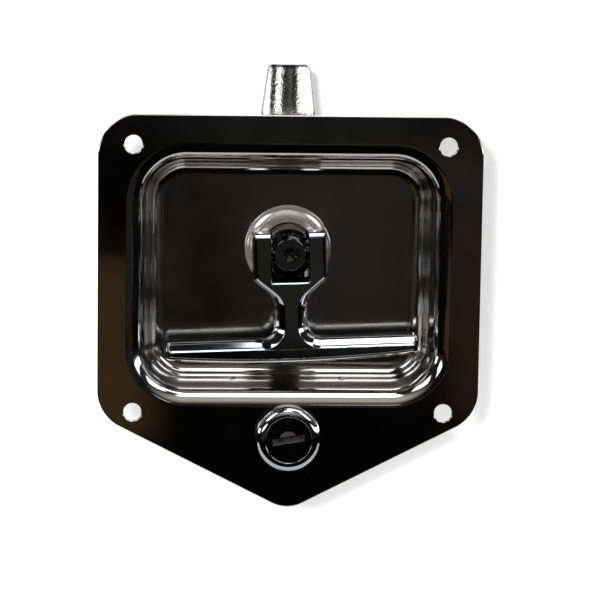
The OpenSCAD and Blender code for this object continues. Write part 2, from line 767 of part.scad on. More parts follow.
module spring_peg() color([0.5, 0.5, 0.5]) translate([spring_x, spring_y, 0]) {
    rod_z(peg_neck, seat_z - guide_sheet - peg_rivet, seat_z);
    rod_z(peg_r, seat_z, seat_z + peg_length);
}

// Lock body: round head and threaded barrel
module lock_body() color([0.12, 0.12, 0.13]) on_lock() difference() {
    union() {
        turned() {
            box2(0, lock_front, head_r - head_round, lock_front + head_round);
            translate([head_r - head_round, lock_front + head_round]) sector(head_round, 270, 360);
            box2(0, lock_front + head_round, head_r, front);
        }
        rod_y(barrel_r, front, 1);
        threaded(barrel_r, 0.55, 1.4, 1, barrel_end);
    }
    rod_y(plug_r + run_fit, lock_front - 1, barrel_end + 1);
    rod_y(plug_head_r + plug_head_gap, lock_front - 1, plug_head_seat);
}

// Key plug: slotted head, round body and square tang for the cam
module key_plug() color([0.1, 0.1, 0.11]) on_lock() difference() {
    union() {
        rod_y(plug_head_r, lock_front + 0.15, plug_head_seat - 0.1);
        rod_y(plug_r, plug_head_seat - 0.1, cam_front);
        along_y(cam_front, cam_back - 0.2) square(2 * tang_half, center = true);
    }
    rotate([0, -slot_tilt, 0]) along_y(lock_front - 1, lock_front + 3.2)
        square([slot_length, slot_width], center = true);
    rotate([0, -slot_tilt, 0]) along_y(lock_front - 1, lock_front + 1.2)
        intersection() {
            circle(r = 2.65, $fn = fine);
            box2(-4, 0.3, 4, 4);
        }
    rod_y(1.95, cam_back - 6, cam_back + 1);
}

module dust_shutter() color([0.25, 0.25, 0.26]) on_lock() rotate([0, -slot_tilt, 0])
    along_y(lock_front + 2, lock_front + 3.2)
        square([slot_length - 0.3, slot_width - 0.3], center = true);

module lock_washer() color([0.6, 0.6, 0.58]) on_lock() along_y(0, washer_thick) difference() {
    circle(r = barrel_r + 0.75, $fn = fine);
    circle(r = barrel_r + 0.15, $fn = fine);
}

module lock_nut() color([0.66, 0.66, 0.64]) on_lock()
    hex_nut(lock_nut_flats, barrel_r + 0.05, washer_thick, washer_thick + lock_nut_thick);

module lock_cam() color([0.68, 0.66, 0.58]) on_lock() along_y(cam_front, cam_back) difference() {
    rotate(90) lever2(cam_hub_r, cam_tip_r, cam_reach - cam_tip_r);
    square(2 * tang_half + 0.1, center = true);
}

module cam_washer() color([0.6, 0.6, 0.58]) on_lock() along_y(cam_back, cam_back + 0.7) difference() {
    circle(r = 5.4, $fn = fine);
    circle(r = 2.1, $fn = fine);
}

module cam_screw() color([0.55, 0.55, 0.56]) on_lock() difference() {
    union() {
        rod_y(1.9, cam_back - 5.5, cam_back + 0.7);
        turned() {
            box2(0, cam_back + 0.7, 3.8, cam_back + 1.9);
            translate([2.6, cam_back + 1.9]) sector(1.2, 0, 90);
            box2(0, cam_back + 1.9, 2.6, cam_back + 3.1);
        }
    }
    along_y(cam_back + 2, cam_back + 4) {
        square([4.2, 0.9], center = true);
        box2(-0.45, 0.45, 0.45, 2.1);
        box2(-0.45, -2.1, 0.45, -0.45);
    }
}

pan();
shaft_bushing();
bushing_ring();
handle_shaft();
pivot_pin();
t_handle();
wave_washer();
drive_crank();
crank_stud();
stud_roller();
stud_clip();
shaft_washer();
shaft_nut();
turn_stop();
bolt_guide();
latch_bolt();
bolt_spring();
spring_anchor();
spring_peg();
lock_body();
key_plug();
dust_shutter();
lock_washer();
lock_nut();
lock_cam();
cam_washer();
cam_screw();
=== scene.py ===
"""Looks of a recessed T-handle latch: pressed pan, folding handle, sliding bolt and key lock.

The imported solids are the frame. The pan, the handle, the bushing, the lock body and the coil spring get
finer meshes of their own. The other pieces keep their solids with broken edges, and every piece gets a
procedural metal finish.
"""
import json
import math

import bpy
from bpy.props import FloatProperty, FloatVectorProperty, IntProperty, PointerProperty
from bpy.types import Operator, Panel, PropertyGroup
from mathutils import Matrix, Vector
from mathutils.geometry import delaunay_2d_cdt, tessellate_polygon


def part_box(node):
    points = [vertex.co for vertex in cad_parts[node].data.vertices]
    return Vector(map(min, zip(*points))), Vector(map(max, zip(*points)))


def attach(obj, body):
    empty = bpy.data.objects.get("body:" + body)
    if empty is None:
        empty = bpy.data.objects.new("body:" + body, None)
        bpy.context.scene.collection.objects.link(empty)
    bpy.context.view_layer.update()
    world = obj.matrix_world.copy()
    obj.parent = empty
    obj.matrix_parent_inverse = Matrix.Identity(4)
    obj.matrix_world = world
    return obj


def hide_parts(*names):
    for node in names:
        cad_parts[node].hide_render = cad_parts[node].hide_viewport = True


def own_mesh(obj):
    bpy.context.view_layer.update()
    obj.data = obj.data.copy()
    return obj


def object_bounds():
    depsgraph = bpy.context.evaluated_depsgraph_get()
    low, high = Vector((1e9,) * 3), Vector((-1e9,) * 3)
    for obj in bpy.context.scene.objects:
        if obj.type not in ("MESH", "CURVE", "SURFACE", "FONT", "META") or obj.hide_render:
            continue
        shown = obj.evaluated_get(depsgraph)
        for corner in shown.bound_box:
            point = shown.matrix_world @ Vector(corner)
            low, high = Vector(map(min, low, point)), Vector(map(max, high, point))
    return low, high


bl_info = {
    "name": "Recessed T-handle latch",
    "version": (1, 0, 0),
    "blender": (4, 5, 0),
    "location": "View3D > Sidebar > Latch",
    "description": "Dresses the packed solids of a recessed T-handle latch and sets its studio",
    "category": "Object",
}

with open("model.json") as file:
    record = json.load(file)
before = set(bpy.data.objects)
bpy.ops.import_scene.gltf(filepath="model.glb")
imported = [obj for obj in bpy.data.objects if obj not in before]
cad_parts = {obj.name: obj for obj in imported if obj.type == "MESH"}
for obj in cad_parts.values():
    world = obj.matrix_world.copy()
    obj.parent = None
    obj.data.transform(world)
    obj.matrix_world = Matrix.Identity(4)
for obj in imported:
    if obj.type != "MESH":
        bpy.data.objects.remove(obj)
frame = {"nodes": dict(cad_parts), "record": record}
solid_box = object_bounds()

MM = 0.001
PAN_LOW, PAN_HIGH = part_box("pan")
SPRING_LOW, SPRING_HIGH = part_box("bolt_spring")
BUSHING_LOW, BUSHING_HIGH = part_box("shaft_bushing")
LOCK_LOW, LOCK_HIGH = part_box("lock_body")
BOLT_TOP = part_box("latch_bolt")[1][2]
HOLES = next(m for m in frame["record"]["mounts"] if m["name"] == "flange_holes")["dims"]
PIN = next(j for j in frame["record"]["behaviour"]["joints"] if j["name"] == "handle_fold")["pos_m"]

CLOUD = (0.3, 0.7)  # wide part of a noise's range, for soft changes
GRAIN = (0.35, 0.65)  # its narrow part, for harder ones


def axis_of(low, high):
    """X and Z of the middle of a box."""
    return (low[0] + high[0]) / 2, (low[2] + high[2]) / 2


def length(name, description, default):
    """A size in metres, with its default given in millimetres."""
    return FloatProperty(name=name, description=description, default=default * MM, unit="LENGTH", precision=5)


def angle(name, description, default):
    """An angle, with its default given in degrees."""
    return FloatProperty(name=name, description=description, default=math.radians(default), unit="ROTATION")


def factor(name, description, default):
    """A number from 0 to 1."""
    return FloatProperty(name=name, description=description, default=default, min=0, max=1, subtype="FACTOR")


def colour(name, description, default):
    """A linear colour."""
    return FloatVectorProperty(name=name, description=description, default=default, size=3, min=0, max=1,
                               subtype="COLOR")


class LatchSizes(PropertyGroup):
    """Sizes of the pieces that get a mesh of their own."""
    sheet: length("Sheet", "Thickness of the pressed sheet", 1.5)
    rim_half_width: length("Rim half width", "Half width of the pan at its rim", 48.2)
    rim_top: length("Rim top", "Height of the upper rim above the hole centre", 40.4)
    rim_bottom: length("Rim bottom", "Depth of the lower rim below the hole centre", 38.2)
    rim_corner: length("Rim corner", "Corner radius of the rim", 17.8)
    floor_corner: length("Floor corner", "Corner radius of the floor", 6.5)
    rim_bend: length("Rim bend", "Front radius of the bend at the rim", 5.5)
    floor_bend: length("Floor bend", "Front radius of the bend at the floor", 4.5)
    corner_radius: length("Corner radius", "Radius of the four side corners of the flange", 12)
    tip_radius: length("Tip radius", "Radius of the lower tip of the flange", 10)
    vee_drop: length("Vee drop", "Depth at which the two lower edges would meet", 69.5)
    vee_angle: angle("Vee angle", "Slope of the two lower edges", 27)
    front_edge: length("Front edge", "Rounding of the sheared edges on the front", 0.4)
    back_edge: length("Back edge", "Rounding of the sheared edges on the back", 0.15)
    dimple_pitch: length("Dimple pitch", "Distance between the two dimples in the lower wall", 33)
    dimple_radius: length("Dimple radius", "Radius of a dimple at its foot", 1.5)
    dimple_height: length("Dimple height", "Height of a dimple above the wall", 0.65)
    dimple_along: length("Dimple place", "Distance of a dimple from the floor bend, along the wall", 0.8)
    lean: angle("Handle lean", "Lean of the stored handle, anticlockwise from the front", 2.2)
    arm_round: length("Arm round", "Radius of the fork arms behind the pin", 6.4)
    fork_half: length("Fork half width", "Half of the width across the fork arms", 10.9)
    slot_half: length("Slot half width", "Half of the gap between the fork arms", 5.5)
    fork_depth: length("Fork depth", "Distance from the pin axis down to the bottom of the fork", 8.3)
    shoulder: length("Shoulder", "Distance from the pin axis down to the shoulders of the fork", 7.5)
    neck: length("Neck", "Distance from the pin axis down to where the slopes meet the stem", 12.4)
    neck_round: length("Neck round", "Radius between the slopes and the stem", 6)
    stem_half: length("Stem half width", "Half of the width of the stem", 5)
    bar_drop: length("Bar drop", "Distance from the pin axis down to the top of the bar", 25.4)
    bar_height: length("Bar height", "Height of the bar at its middle", 6.9)
    bar_bow: length("Bar bow", "How much the lower edge of the bar rises towards its ends", 1.7)
    bar_half: length("Bar half length", "Half of the length of the bar", 37.25)
    bar_depth: length("Bar depth", "Depth of the bar from front to back", 7.8)
    bar_fillet: length("Bar fillet", "Radius between the stem and the bar", 4.2)
    arm_bevel: length("Arm bevel", "Crowned bevel around the fork", 1.3)
    stem_bevel: length("Stem bevel", "Crowned bevel along the stem", 3.3)
    bar_bevel: length("Bar bevel", "Crowned bevel along the top of the bar", 2.8)
    low_bevel: length("Low bevel", "Crowned bevel along the bottom and the ends of the bar", 1.5)
    pin_radius: length("Pin radius", "Radius of the hole for the pivot pin", 2.56)
    bushing_bore: length("Bushing bore", "Radius of the bore of the bushing", 8.01)
    bushing_face: length("Bushing face", "Radius of the flat face of the bushing", 9.3)
    bushing_curve: length("Bushing curve", "Radius of the soft shoulder of the bushing", 4.4)
    sleeve_radius: length("Sleeve radius", "Radius of the sleeve behind the bushing", 9.5)
    lock_face: length("Lock face", "Radius at which the bezel of the lock starts", 7.1)
    plug_head: length("Plug head", "Radius of the seat for the head of the plug", 6.87)
    plug_bore: length("Plug bore", "Radius of the bore for the plug", 6.16)
    barrel_radius: length("Barrel", "Radius of the barrel of the lock", 7.75)
    thread_depth: length("Thread depth", "Depth of the thread on the barrel", 0.55)
    thread_pitch: length("Thread pitch", "Pitch of the thread on the barrel", 1.4)
    lock_hole: length("Lock hole", "Radius of the hole in the flange for the lock", 7.9)
    shaft_hole: length("Shaft hole", "Radius of the hole in the floor for the bushing", 9.55)
    wire: length("Spring wire", "Wire diameter of the bolt spring", 0.9)
    coils: IntProperty(name="Spring coils", description="Number of turns of the bolt spring", default=6, min=2)
    spring_travel: length("Spring travel", "How much the bolt shortens the spring", 14)
    fine_break: length("Fine edge break", "Width of the broken edges on turned and plated pieces", 0.12)
    bolt_break: length("Bolt edge break", "Width of the broken edges on the bolt", 0.5)


class LatchFinishes(PropertyGroup):
    """Colours and roughness of the finishes."""
    stainless: colour("Stainless", "Polished stainless sheet", (0.63, 0.62, 0.6))
    stainless_flange: factor("Flange roughness", "Roughness of the polished flange", 0.07)
    stainless_floor: factor("Floor roughness", "Roughness at the bottom of the pan", 0.13)
    handle: colour("Handle", "Bright plate on the handle", (0.56, 0.57, 0.6))
    handle_roughness: factor("Handle roughness", "Roughness of the handle", 0.045)
    chrome: colour("Chrome", "Chrome of the lock", (0.6, 0.61, 0.63))
    chrome_roughness: factor("Chrome roughness", "Roughness of the lock", 0.06)
    raw_zinc: colour("Raw zinc", "Raw casting inside the key slot", (0.7, 0.68, 0.66))
    bolt: colour("Bolt", "Zinc plate on the bolt", (0.76, 0.76, 0.75))
    bolt_roughness: factor("Bolt roughness", "Roughness of the bolt", 0.1)
    # Painted dark reflection for the top and side edges of the bolt; these edges are not darker metal
    painted_edge_dark: colour("Burnish", "Dark rubbed metal along the edges of the bolt", (0.08, 0.08, 0.09))
    bushing: colour("Bushing", "Dull zinc on the bushing", (0.88, 0.85, 0.8))
    turned: colour("Turned steel", "Turned steel of pins and shaft", (0.42, 0.42, 0.43))
    # Darker colour of the shaft in front of the pan floor
    dark_front_colour: colour("Blackened steel", "Blackened front end of the shaft", (0.03, 0.03, 0.035))
    yellow_zinc: colour("Yellow zinc", "Yellow zinc plate on the hidden steelwork", (0.72, 0.64, 0.42))
    pale_zinc: colour("Pale zinc", "Greener clouds in the yellow zinc", (0.62, 0.66, 0.55))
    zinc: colour("Zinc", "Bright zinc plate on nuts and washers", (0.68, 0.69, 0.71))
    dark_steel: colour("Dark steel", "Blued spring steel", (0.16, 0.16, 0.18))
    brown_steel: colour("Brown steel", "Browner patches in the spring steel", (0.2, 0.16, 0.13))
    bronze: colour("Bronze", "Bronze of the roller", (0.66, 0.45, 0.2))
    wire: colour("Wire", "Drawn spring wire", (0.6, 0.6, 0.61))
    shutter: colour("Shutter", "Steel of the dust shutter", (0.28, 0.28, 0.3))


class LatchStudio(PropertyGroup):
    """Camera and light."""
    distance: length("Camera distance", "Distance of the camera from the hole centre", 760)
    elevation: angle("Camera elevation", "Height of the camera", 8.5)
    azimuth: angle("Camera azimuth", "Turn of the camera to the right", -3)
    roll: angle("Camera roll", "Lean of the picture, clockwise", 0.8)
    lens: FloatProperty(name="Lens", description="Focal length", default=154.9, unit="CAMERA")
    shift_x: FloatProperty(name="Shift across", description="Picture shift to the right", default=0.0172)
    shift_y: FloatProperty(name="Shift up", description="Picture shift upwards", default=-0.0343)
    wall_gap: length("Wall gap", "Gap between the latch and the wall behind it", 3)
    floor_gap: length("Floor gap", "Gap between the latch and the floor", 47)
    key_energy: FloatProperty(name="Key light", description="Power of the key light", default=13, unit="POWER")
    key_size: length("Key size", "Width of the key light", 190)
    key_azimuth: angle("Key azimuth", "Turn of the key light to the right", -13.5)
    key_elevation: angle("Key elevation", "Height of the key light", 13.4)
    wall_glow: factor("Wall glow", "Part of the wall's white that no shadow darkens", 0.36)
    ambient: factor("Ambient", "Strength of the world for rough surfaces", 0.4)
    softbox: FloatProperty(name="Softbox", description="Brightness of the softboxes", default=3.5, min=0)


def sizes():
    return bpy.context.scene.latch_sizes


def finishes():
    return bpy.context.scene.latch_finishes


def studio():
    return bpy.context.scene.latch_studio


# Meshes

class Skin:
    """A mesh of rings and flat fills in which each point carries its own normal."""

    def __init__(self):
        self.points = []
        self.normals = []
        self.faces = []

    def ring(self, places):
        first = len(self.points)
        for place, normal in places:
            self.points.append(place)
            self.normals.append(normal)
        return list(range(first, len(self.points)))

    def face(self, *corners):
        a, b, c = (self.points[i] for i in corners[:3])
        facing = sum((self.normals[i] for i in corners), Vector())
        ordered = corners if (b - a).cross(c - a).dot(facing) > 0 else corners[::-1]
        self.faces.append(ordered)

    def bridge(self, rings):
        for inner, outer in zip(rings, rings[1:]):
            for i, a in enumerate(inner):
                j = (i + 1) % len(inner)
                self.face(a, inner[j], outer[j], outer[i])

    def fill(self, loops):
        order = [i for loop in loops for i in loop]
        for corners in tessellate_polygon([[self.points[i] for i in loop] for loop in loops]):
            self.face(*(order[i] for i in corners))

    def build(self, name):
        mesh = bpy.data.meshes.new(name)
        mesh.from_pydata([tuple(p) for p in self.points], [], self.faces)
        mesh.validate()
        mesh.polygons.foreach_set("use_smooth", [True] * len(mesh.polygons))
        mesh.normals_split_custom_set_from_vertices([tuple(n.normalized()) for n in self.normals])
        piece = bpy.data.objects.new(name, mesh)
        bpy.context.collection.objects.link(piece)
        return piece


def turn(radians):
    """Unit direction in a plane."""
    return Vector((math.cos(radians), math.sin(radians)))


def spread(start, end, count):
    """Evenly spaced numbers from start to end, both included."""
    return [start + (end - start) * i / count for i in range(count + 1)]


def wall_bends(s):
    """Bend centres of the pan wall as distance and depth, and the tilt of the wall between them."""
    front = PAN_LOW[1]
    floor = PAN_HIGH[1] - s.sheet
    low = Vector((s.floor_corner, floor - s.floor_bend))
    high = Vector((s.rim_corner, front + s.rim_bend))
    span = high - low
    tilt = math.atan2(span.y, span.x) - math.asin((s.floor_bend + s.rim_bend) / span.length) + math.pi / 2
    return low, high, tilt


def wall_profile(s, offset, step):
    """Distance, depth and outward normal along the pan wall, from the floor to the rim.

    The front face has offset 0 and normals towards the viewer; the back face has the sheet as offset.
    """
    low, high, tilt = wall_bends(s)
    side = -1 if offset else 1
    floor_r, rim_r = s.floor_bend + offset, s.rim_bend - offset
    bend = math.pi / 2 - tilt
    profile = [(low + floor_r * turn(a), -side * turn(a))
               for a in spread(math.pi / 2, tilt, math.ceil(floor_r * bend / step))]
    start, end = profile[-1][0], high - rim_r * turn(tilt)
    straight = spread(0, 1, math.ceil((end - start).length / step))[1:-1]
    profile += [(start.lerp(end, t), -side * turn(tilt)) for t in straight]
    profile += [(high + rim_r * turn(a), side * turn(a))
                for a in spread(math.pi + tilt, 1.5 * math.pi, math.ceil(rim_r * bend / step))]
    return profile


def wall_stations(s):
    """Base point and outward direction of each station around the pan wall, anticlockwise."""
    x = s.rim_half_width - s.rim_corner
    top, low = s.rim_top - s.rim_corner, s.rim_corner - s.rim_bottom
    corner_steps, side_steps, dimple_steps = 28, 24, 24
    reach, clear = 1.3 * s.dimple_radius, 0.5 * MM
    dimples = [sign * s.dimple_pitch / 2 + t * reach
               for sign in (-1, 1) for t in spread(-1, 1, dimple_steps)]
    plain = [t for t in spread(-x, x, side_steps)[1:-1]
             if all(abs(t - d) > clear for d in dimples)]
    below = sorted(dimples + plain)
    sides = [
        ([Vector((x, t)) for t in spread(low, top, side_steps)[1:-1]], 0),
        ([Vector((t, top)) for t in spread(x, -x, side_steps)[1:-1]], 90),
        ([Vector((-x, t)) for t in spread(top, low, side_steps)[1:-1]], 180),
        ([Vector((t, low)) for t in below], 270),
    ]
    corners = [Vector((x, top)), Vector((-x, top)), Vector((-x, low)), Vector((x, low))]
    stations = []
    for (bases, degrees), corner in zip(sides, corners):
        stations += [(base, turn(math.radians(degrees))) for base in bases]
        stations += [(corner, turn(math.radians(a))) for a in spread(degrees, degrees + 90, corner_steps)]
    return stations


def flange_outline(s):
    """Points and outward directions along the flange edge, anticlockwise."""
    r, v = s.corner_radius, s.vee_angle
    x, top = PAN_HIGH[0] - r, PAN_HIGH[2] - r
    low = (r + x * math.sin(v)) / math.cos(v) - s.vee_drop
    tip = s.tip_radius / math.cos(v) - s.vee_drop
    quarter = math.pi / 2
    top_steps, low_steps = 20, 16
    arcs = [
        (Vector((x, top)), r, 0, quarter, top_steps),
        (Vector((-x, top)), r, quarter, 2 * quarter, top_steps),
        (Vector((-x, low)), r, 2 * quarter, 3 * quarter - v, low_steps),
        (Vector((0, tip)), s.tip_radius, 3 * quarter - v, 3 * quarter + v, low_steps),
        (Vector((x, low)), r, v - quarter, 0, low_steps),
    ]
    return [(centre + radius * turn(a), turn(a))
            for centre, radius, start, end, steps in arcs for a in spread(start, end, steps)]


def circle_outline(x, z, radius, steps):
    """Points and directions into the metal around a hole."""
    centre = Vector((x, z))
    return [(centre + radius * turn(a), -turn(a)) for a in spread(0, 2 * math.pi, steps)[:-1]]


def sheared_edge(skin, outline, front, back, front_round, back_round):
    """Rounded edge of the sheet along an outline; returns its rings on the front and back faces."""
    front_steps, back_steps = 5, 3
    rows = [(front_round * (math.cos(a) - 1), front + front_round * (1 - math.sin(a)), math.cos(a), -math.sin(a))
            for a in spread(math.pi / 2, 0, front_steps)]
    rows += [(back_round * (math.cos(a) - 1), back - back_round * (1 - math.sin(a)), math.cos(a), math.sin(a))
             for a in spread(0, math.pi / 2, back_steps)]
    rings = [skin.ring([(Vector((p.x + d * n.x, y, p.y + d * n.y)), Vector((out * n.x, deep, out * n.y)))
                        for p, n in outline]) for d, y, out, deep in rows]
    skin.bridge(rings)
    return rings[0], rings[-1]


def dimple_bump(place, normal, centre, s):
    """Moves a point of the lower wall out onto a smooth round dimple."""
    away = place - centre
    away -= away.dot(normal) * normal
    reach = away.length / s.dimple_radius
    if reach >= 1:
        return place, normal
    rise = s.dimple_height * math.cos(reach * math.pi / 2) ** 2
    slope = s.dimple_height / s.dimple_radius * math.pi / 2 * math.sin(reach * math.pi)
    tilt = away.normalized() * slope if reach > 0 else Vector()
    return place + rise * normal, (normal + tilt).normalized()


def wall_rings(skin, s, offset, step):
    """Rings of the pan wall on its front or back face, from the floor to the rim."""
    stations = wall_stations(s)
    low, _, tilt = wall_bends(s)
    along = Vector((math.sin(tilt), -math.cos(tilt)))
    spot = low + s.floor_bend * turn(tilt) + s.dimple_along * along
    dimples = [Vector((x * s.dimple_pitch / 2, spot.y, s.rim_corner - s.rim_bottom - spot.x)) for x in (-1, 1)]
    rings = []
    for at, normal in wall_profile(s, offset, step):
        places = []
        for base, out in stations:
            flat = base + at.x * out
            place = Vector((flat.x, at.y, flat.y))
            facing = Vector((normal.x * out.x, normal.y, normal.x * out.y))
            if not offset:
                for dimple in dimples:
                    place, facing = dimple_bump(place, facing, dimple, s)
            places.append((place, facing))
        rings.append(skin.ring(places))
    skin.bridge(rings)
    return rings


def pan_skin(s):
    """Front and back of the pressed pan, closed along its sheared edges."""
    skin = Skin()
    front, flange_back, floor_back = PAN_LOW[1], PAN_LOW[1] + s.sheet, PAN_HIGH[1]
    front_step, back_step = 0.22 * MM, 0.6 * MM
    screw_steps, bore_steps = 48, 64
    front_wall = wall_rings(skin, s, 0, front_step)
    back_wall = wall_rings(skin, s, s.sheet, back_step)
    half_x, half_z = HOLES["spacing_x_mm"] / 2 * MM, HOLES["spacing_y_mm"] / 2 * MM
    screw_holes = [circle_outline(x * half_x, z * half_z, HOLES["hole_r_mm"] * MM, screw_steps)
                   for x in (-1, 1) for z in (-1, 1)]
    lock_hole = circle_outline(*axis_of(LOCK_LOW, LOCK_HIGH), s.lock_hole, bore_steps)
    cuts = [flange_outline(s)] + screw_holes + [lock_hole]
    edges = [sheared_edge(skin, cut, front, flange_back, s.front_edge, s.back_edge) for cut in cuts]
    skin.fill([edges[0][0], front_wall[-1]] + [edge[0] for edge in edges[1:]])
    skin.fill([edges[0][1], back_wall[-1]] + [edge[1] for edge in edges[1:]])
    shaft_hole = circle_outline(*axis_of(BUSHING_LOW, BUSHING_HIGH), s.shaft_hole, bore_steps)
    hole = sheared_edge(skin, shaft_hole, floor_back - s.sheet, floor_back, s.back_edge, s.back_edge)
    skin.fill([front_wall[0], hole[0]])
    skin.fill([back_wall[0], hole[1]])
    return skin


def rounded_loop(corners):
    """Points and outward directions around a closed anticlockwise outline with rounded corners."""
    loop = []
    for i, (corner, radius, steps) in enumerate(corners):
        into = (corner - corners[i - 1][0]).normalized()
        onward = (corners[(i + 1) % len(corners)][0] - corner).normalized()
        bend = math.atan2(into.cross(onward), into.dot(onward))
        out = Vector((into.y, -into.x))
        reach = radius * math.copysign(1, bend)
        centre = corner - radius * math.tan(abs(bend) / 2) * into - reach * out
        for a in spread(0, bend, steps) if steps else [bend / 2]:
            way = Matrix.Rotation(a, 2) @ out
            loop.append((centre + reach * way, way))
    return loop


def handle_outlines(s):
    """Outer and front edge of the T handle around the pin axis, and the depth of the bevel between them."""
    top, slot = -s.bar_drop, -s.fork_depth
    low = top - s.bar_height
    stem_front = s.stem_half - s.stem_bevel
    edge = 0.3 * MM
    slope = Vector((s.fork_half - s.stem_half, s.neck - s.shoulder))
    rise = slope.y / slope.x
    drop = s.arm_bevel * (slope.length / slope.x - rise)
    arm, arm_top = s.fork_half - s.arm_bevel, s.arm_round - s.arm_bevel
    bow = (s.bar_half ** 2 + s.bar_bow ** 2) / (2 * s.bar_bow)

    def under(x, raised):
        return low + bow - math.sqrt((bow - raised) ** 2 - x * x)

    # Each row: outer corner, front corner, their radii in mm, steps, and the bevel before and after the corner.
    tip = s.bar_half - s.low_bevel
    half = [((x, under(x, 0)), (x * tip / s.bar_half, under(x * tip / s.bar_half, s.low_bevel)), 0, 0, 0,
             s.low_bevel, s.low_bevel) for x in spread(0, s.bar_half, 12)[:-1]]
    half += [
        ((s.bar_half, under(s.bar_half, 0)), (tip, under(tip, s.low_bevel)), 1.3, 0.3, 6, s.low_bevel, s.low_bevel),
        ((s.bar_half, top), (tip, top - s.bar_bevel), 1.1, 0.3, 6, s.low_bevel, s.bar_bevel),
        ((s.stem_half, top), (stem_front, top - s.bar_bevel), s.bar_fillet / MM,
         (s.bar_fillet + 0.9 * s.stem_bevel) / MM, 20, s.bar_bevel, s.stem_bevel),
        ((s.stem_half, -s.neck), (stem_front, drop - s.shoulder - rise * (arm - stem_front)), s.neck_round / MM,
         s.neck_round / MM + 1.6, 14, s.stem_bevel, s.arm_bevel),
        ((s.fork_half, -s.shoulder), (arm, drop - s.shoulder), 2, 1.4, 8, s.arm_bevel, s.arm_bevel),
        ((s.fork_half, s.arm_round), (arm, arm_top), 0.5, 0.1, 6, s.arm_bevel, s.arm_bevel),
        ((s.slot_half, s.arm_round), (s.slot_half + edge, arm_top), 0.3, 0.1, 5, s.arm_bevel, edge),
        ((s.slot_half, slot), (s.slot_half + edge, slot - edge), 0.4, 0.6, 5, edge, edge),
    ]
    other = [((-o[0], o[1]), (-f[0], f[1]), r0, r1, n, d1, d0) for o, f, r0, r1, n, d0, d1 in reversed(half[1:])]
    corners = half + other
    outer = rounded_loop([(Vector(o), r0 * MM, n) for o, _, r0, _, n, _, _ in corners])
    front = rounded_loop([(Vector(f), r1 * MM, n) for _, f, _, r1, n, _, _ in corners])
    depths = [d for *_, n, d0, d1 in corners for d in spread(d0, d1, max(n, 1))[:n + 1]]
    return close_gaps([(*a, *b, d) for a, b, d in zip(outer, front, depths)], 0.8 * MM)


def close_gaps(stations, step):
    """Adds stations along the straight runs of an outline."""
    full = []
    for i, station in enumerate(stations):
        after = stations[(i + 1) % len(stations)]
        pieces = max(1, math.ceil((after[0] - station[0]).length / step))
        full += [tuple(a + (b - a) * k / pieces for a, b in zip(station, after)) for k in range(pieces)]
    return full


def rear_slope(s):
    """Heights between which the rear of the handle slopes from the arms to the bar."""
    return -6 * MM, 5 * MM - s.bar_drop


def handle_rear(s, z):
    """Depth of the rear of the handle behind the pin axis, at a height above it."""
    bar_rear = s.bar_depth - s.arm_round
    start, end = rear_slope(s)
    if z > 0:
        return math.sqrt(max(0, s.arm_round ** 2 - z * z))
    share = min(1, max(0, (start - z) / (start - end)))
    return s.arm_round + (bar_rear - s.arm_round) * share


def handle_skin(s):
    """T handle with crowned bevels that run on from fork to stem to bar."""
    skin = Skin()
    stations = handle_outlines(s)
    front, crown = -s.arm_round, 0.15
    bulge = crown * math.pi / 2
    bar_edge, arm_edge, bar_start = 1.05 * MM, 0.6 * MM, 3 * MM - s.bar_drop
    rings = []
    for t in (0, 0.07, 0.18, 0.3, 0.42, 0.54, 0.66, 0.78, 0.88, 0.94, 1):
        a = t * math.pi / 2
        along = t + crown * (math.sin(a) - t)
        deep = t + crown * (1 - math.cos(a) - t)
        tilt = math.atan2(1 - crown + bulge * math.sin(a), 1 - crown + bulge * math.cos(a))
        tilt = {0: 0, 1: math.pi / 2}.get(t, tilt)
        places = []
        for outer, out, inner, inner_out, depth in stations:
            flat, way = inner.lerp(outer, along), inner_out.lerp(out, t).normalized()
            places.append((Vector((flat.x, front + depth * deep, flat.y)),
                           Vector((way.x * math.sin(tilt), -math.cos(tilt), way.y * math.sin(tilt)))))
        rings.append(skin.ring(places))
    skin.bridge(rings)
    skin.fill([rings[0]])
    rear = []
    for a in spread(0, math.pi / 2, 5):
        places = []
        for outer, out, *_ in stations:
            edge = bar_edge if outer.y < bar_start else arm_edge
            flat = outer - edge * (1 - math.cos(a)) * out
            y = handle_rear(s, flat.y) - edge * (1 - math.sin(a))
            places.append((Vector((flat.x, y, flat.y)),
                           Vector((out.x * math.cos(a), math.sin(a), out.y * math.cos(a)))))
        rear.append(skin.ring(places))
    skin.bridge(rear)
    handle_sides(skin, s, stations, rings[-1], rear[0])
    handle_back(skin, s, rear[-1])
    return skin


def handle_sides(skin, s, stations, fore, aft):
    """Sides of the handle between its front and rear edges, with the ends of the pin hole in the arms."""
    on_arm = [abs(abs(station[0].x) - s.fork_half) < 1e-8 for station in stations]
    count = len(stations)
    for i in range(count):
        j = (i + 1) % count
        if not (on_arm[i] and on_arm[j]):
            skin.face(fore[i], fore[j], aft[j], aft[i])
    for side in (-1, 1):
        run = [i for i in range(count) if on_arm[i] and stations[i][0].x * side > 0]
        facing = Vector((side, 0, 0))
        loop = skin.ring([(skin.points[i].copy(), facing) for i in
                          [fore[i] for i in run] + [aft[i] for i in reversed(run)]])
        ways = [turn(a) for a in spread(0, 2 * math.pi, 40)[:-1]]
        mouth = [skin.ring([(Vector((side * x, s.pin_radius * w.x, s.pin_radius * w.y)),
                             Vector((0, -w.x, -w.y)) if bored else facing) for w in ways])
                 for x, bored in ((s.fork_half, False), (s.fork_half, True), (s.fork_half - MM, True))]
        skin.fill([loop, mouth[0]])
        skin.bridge(mouth[1:])


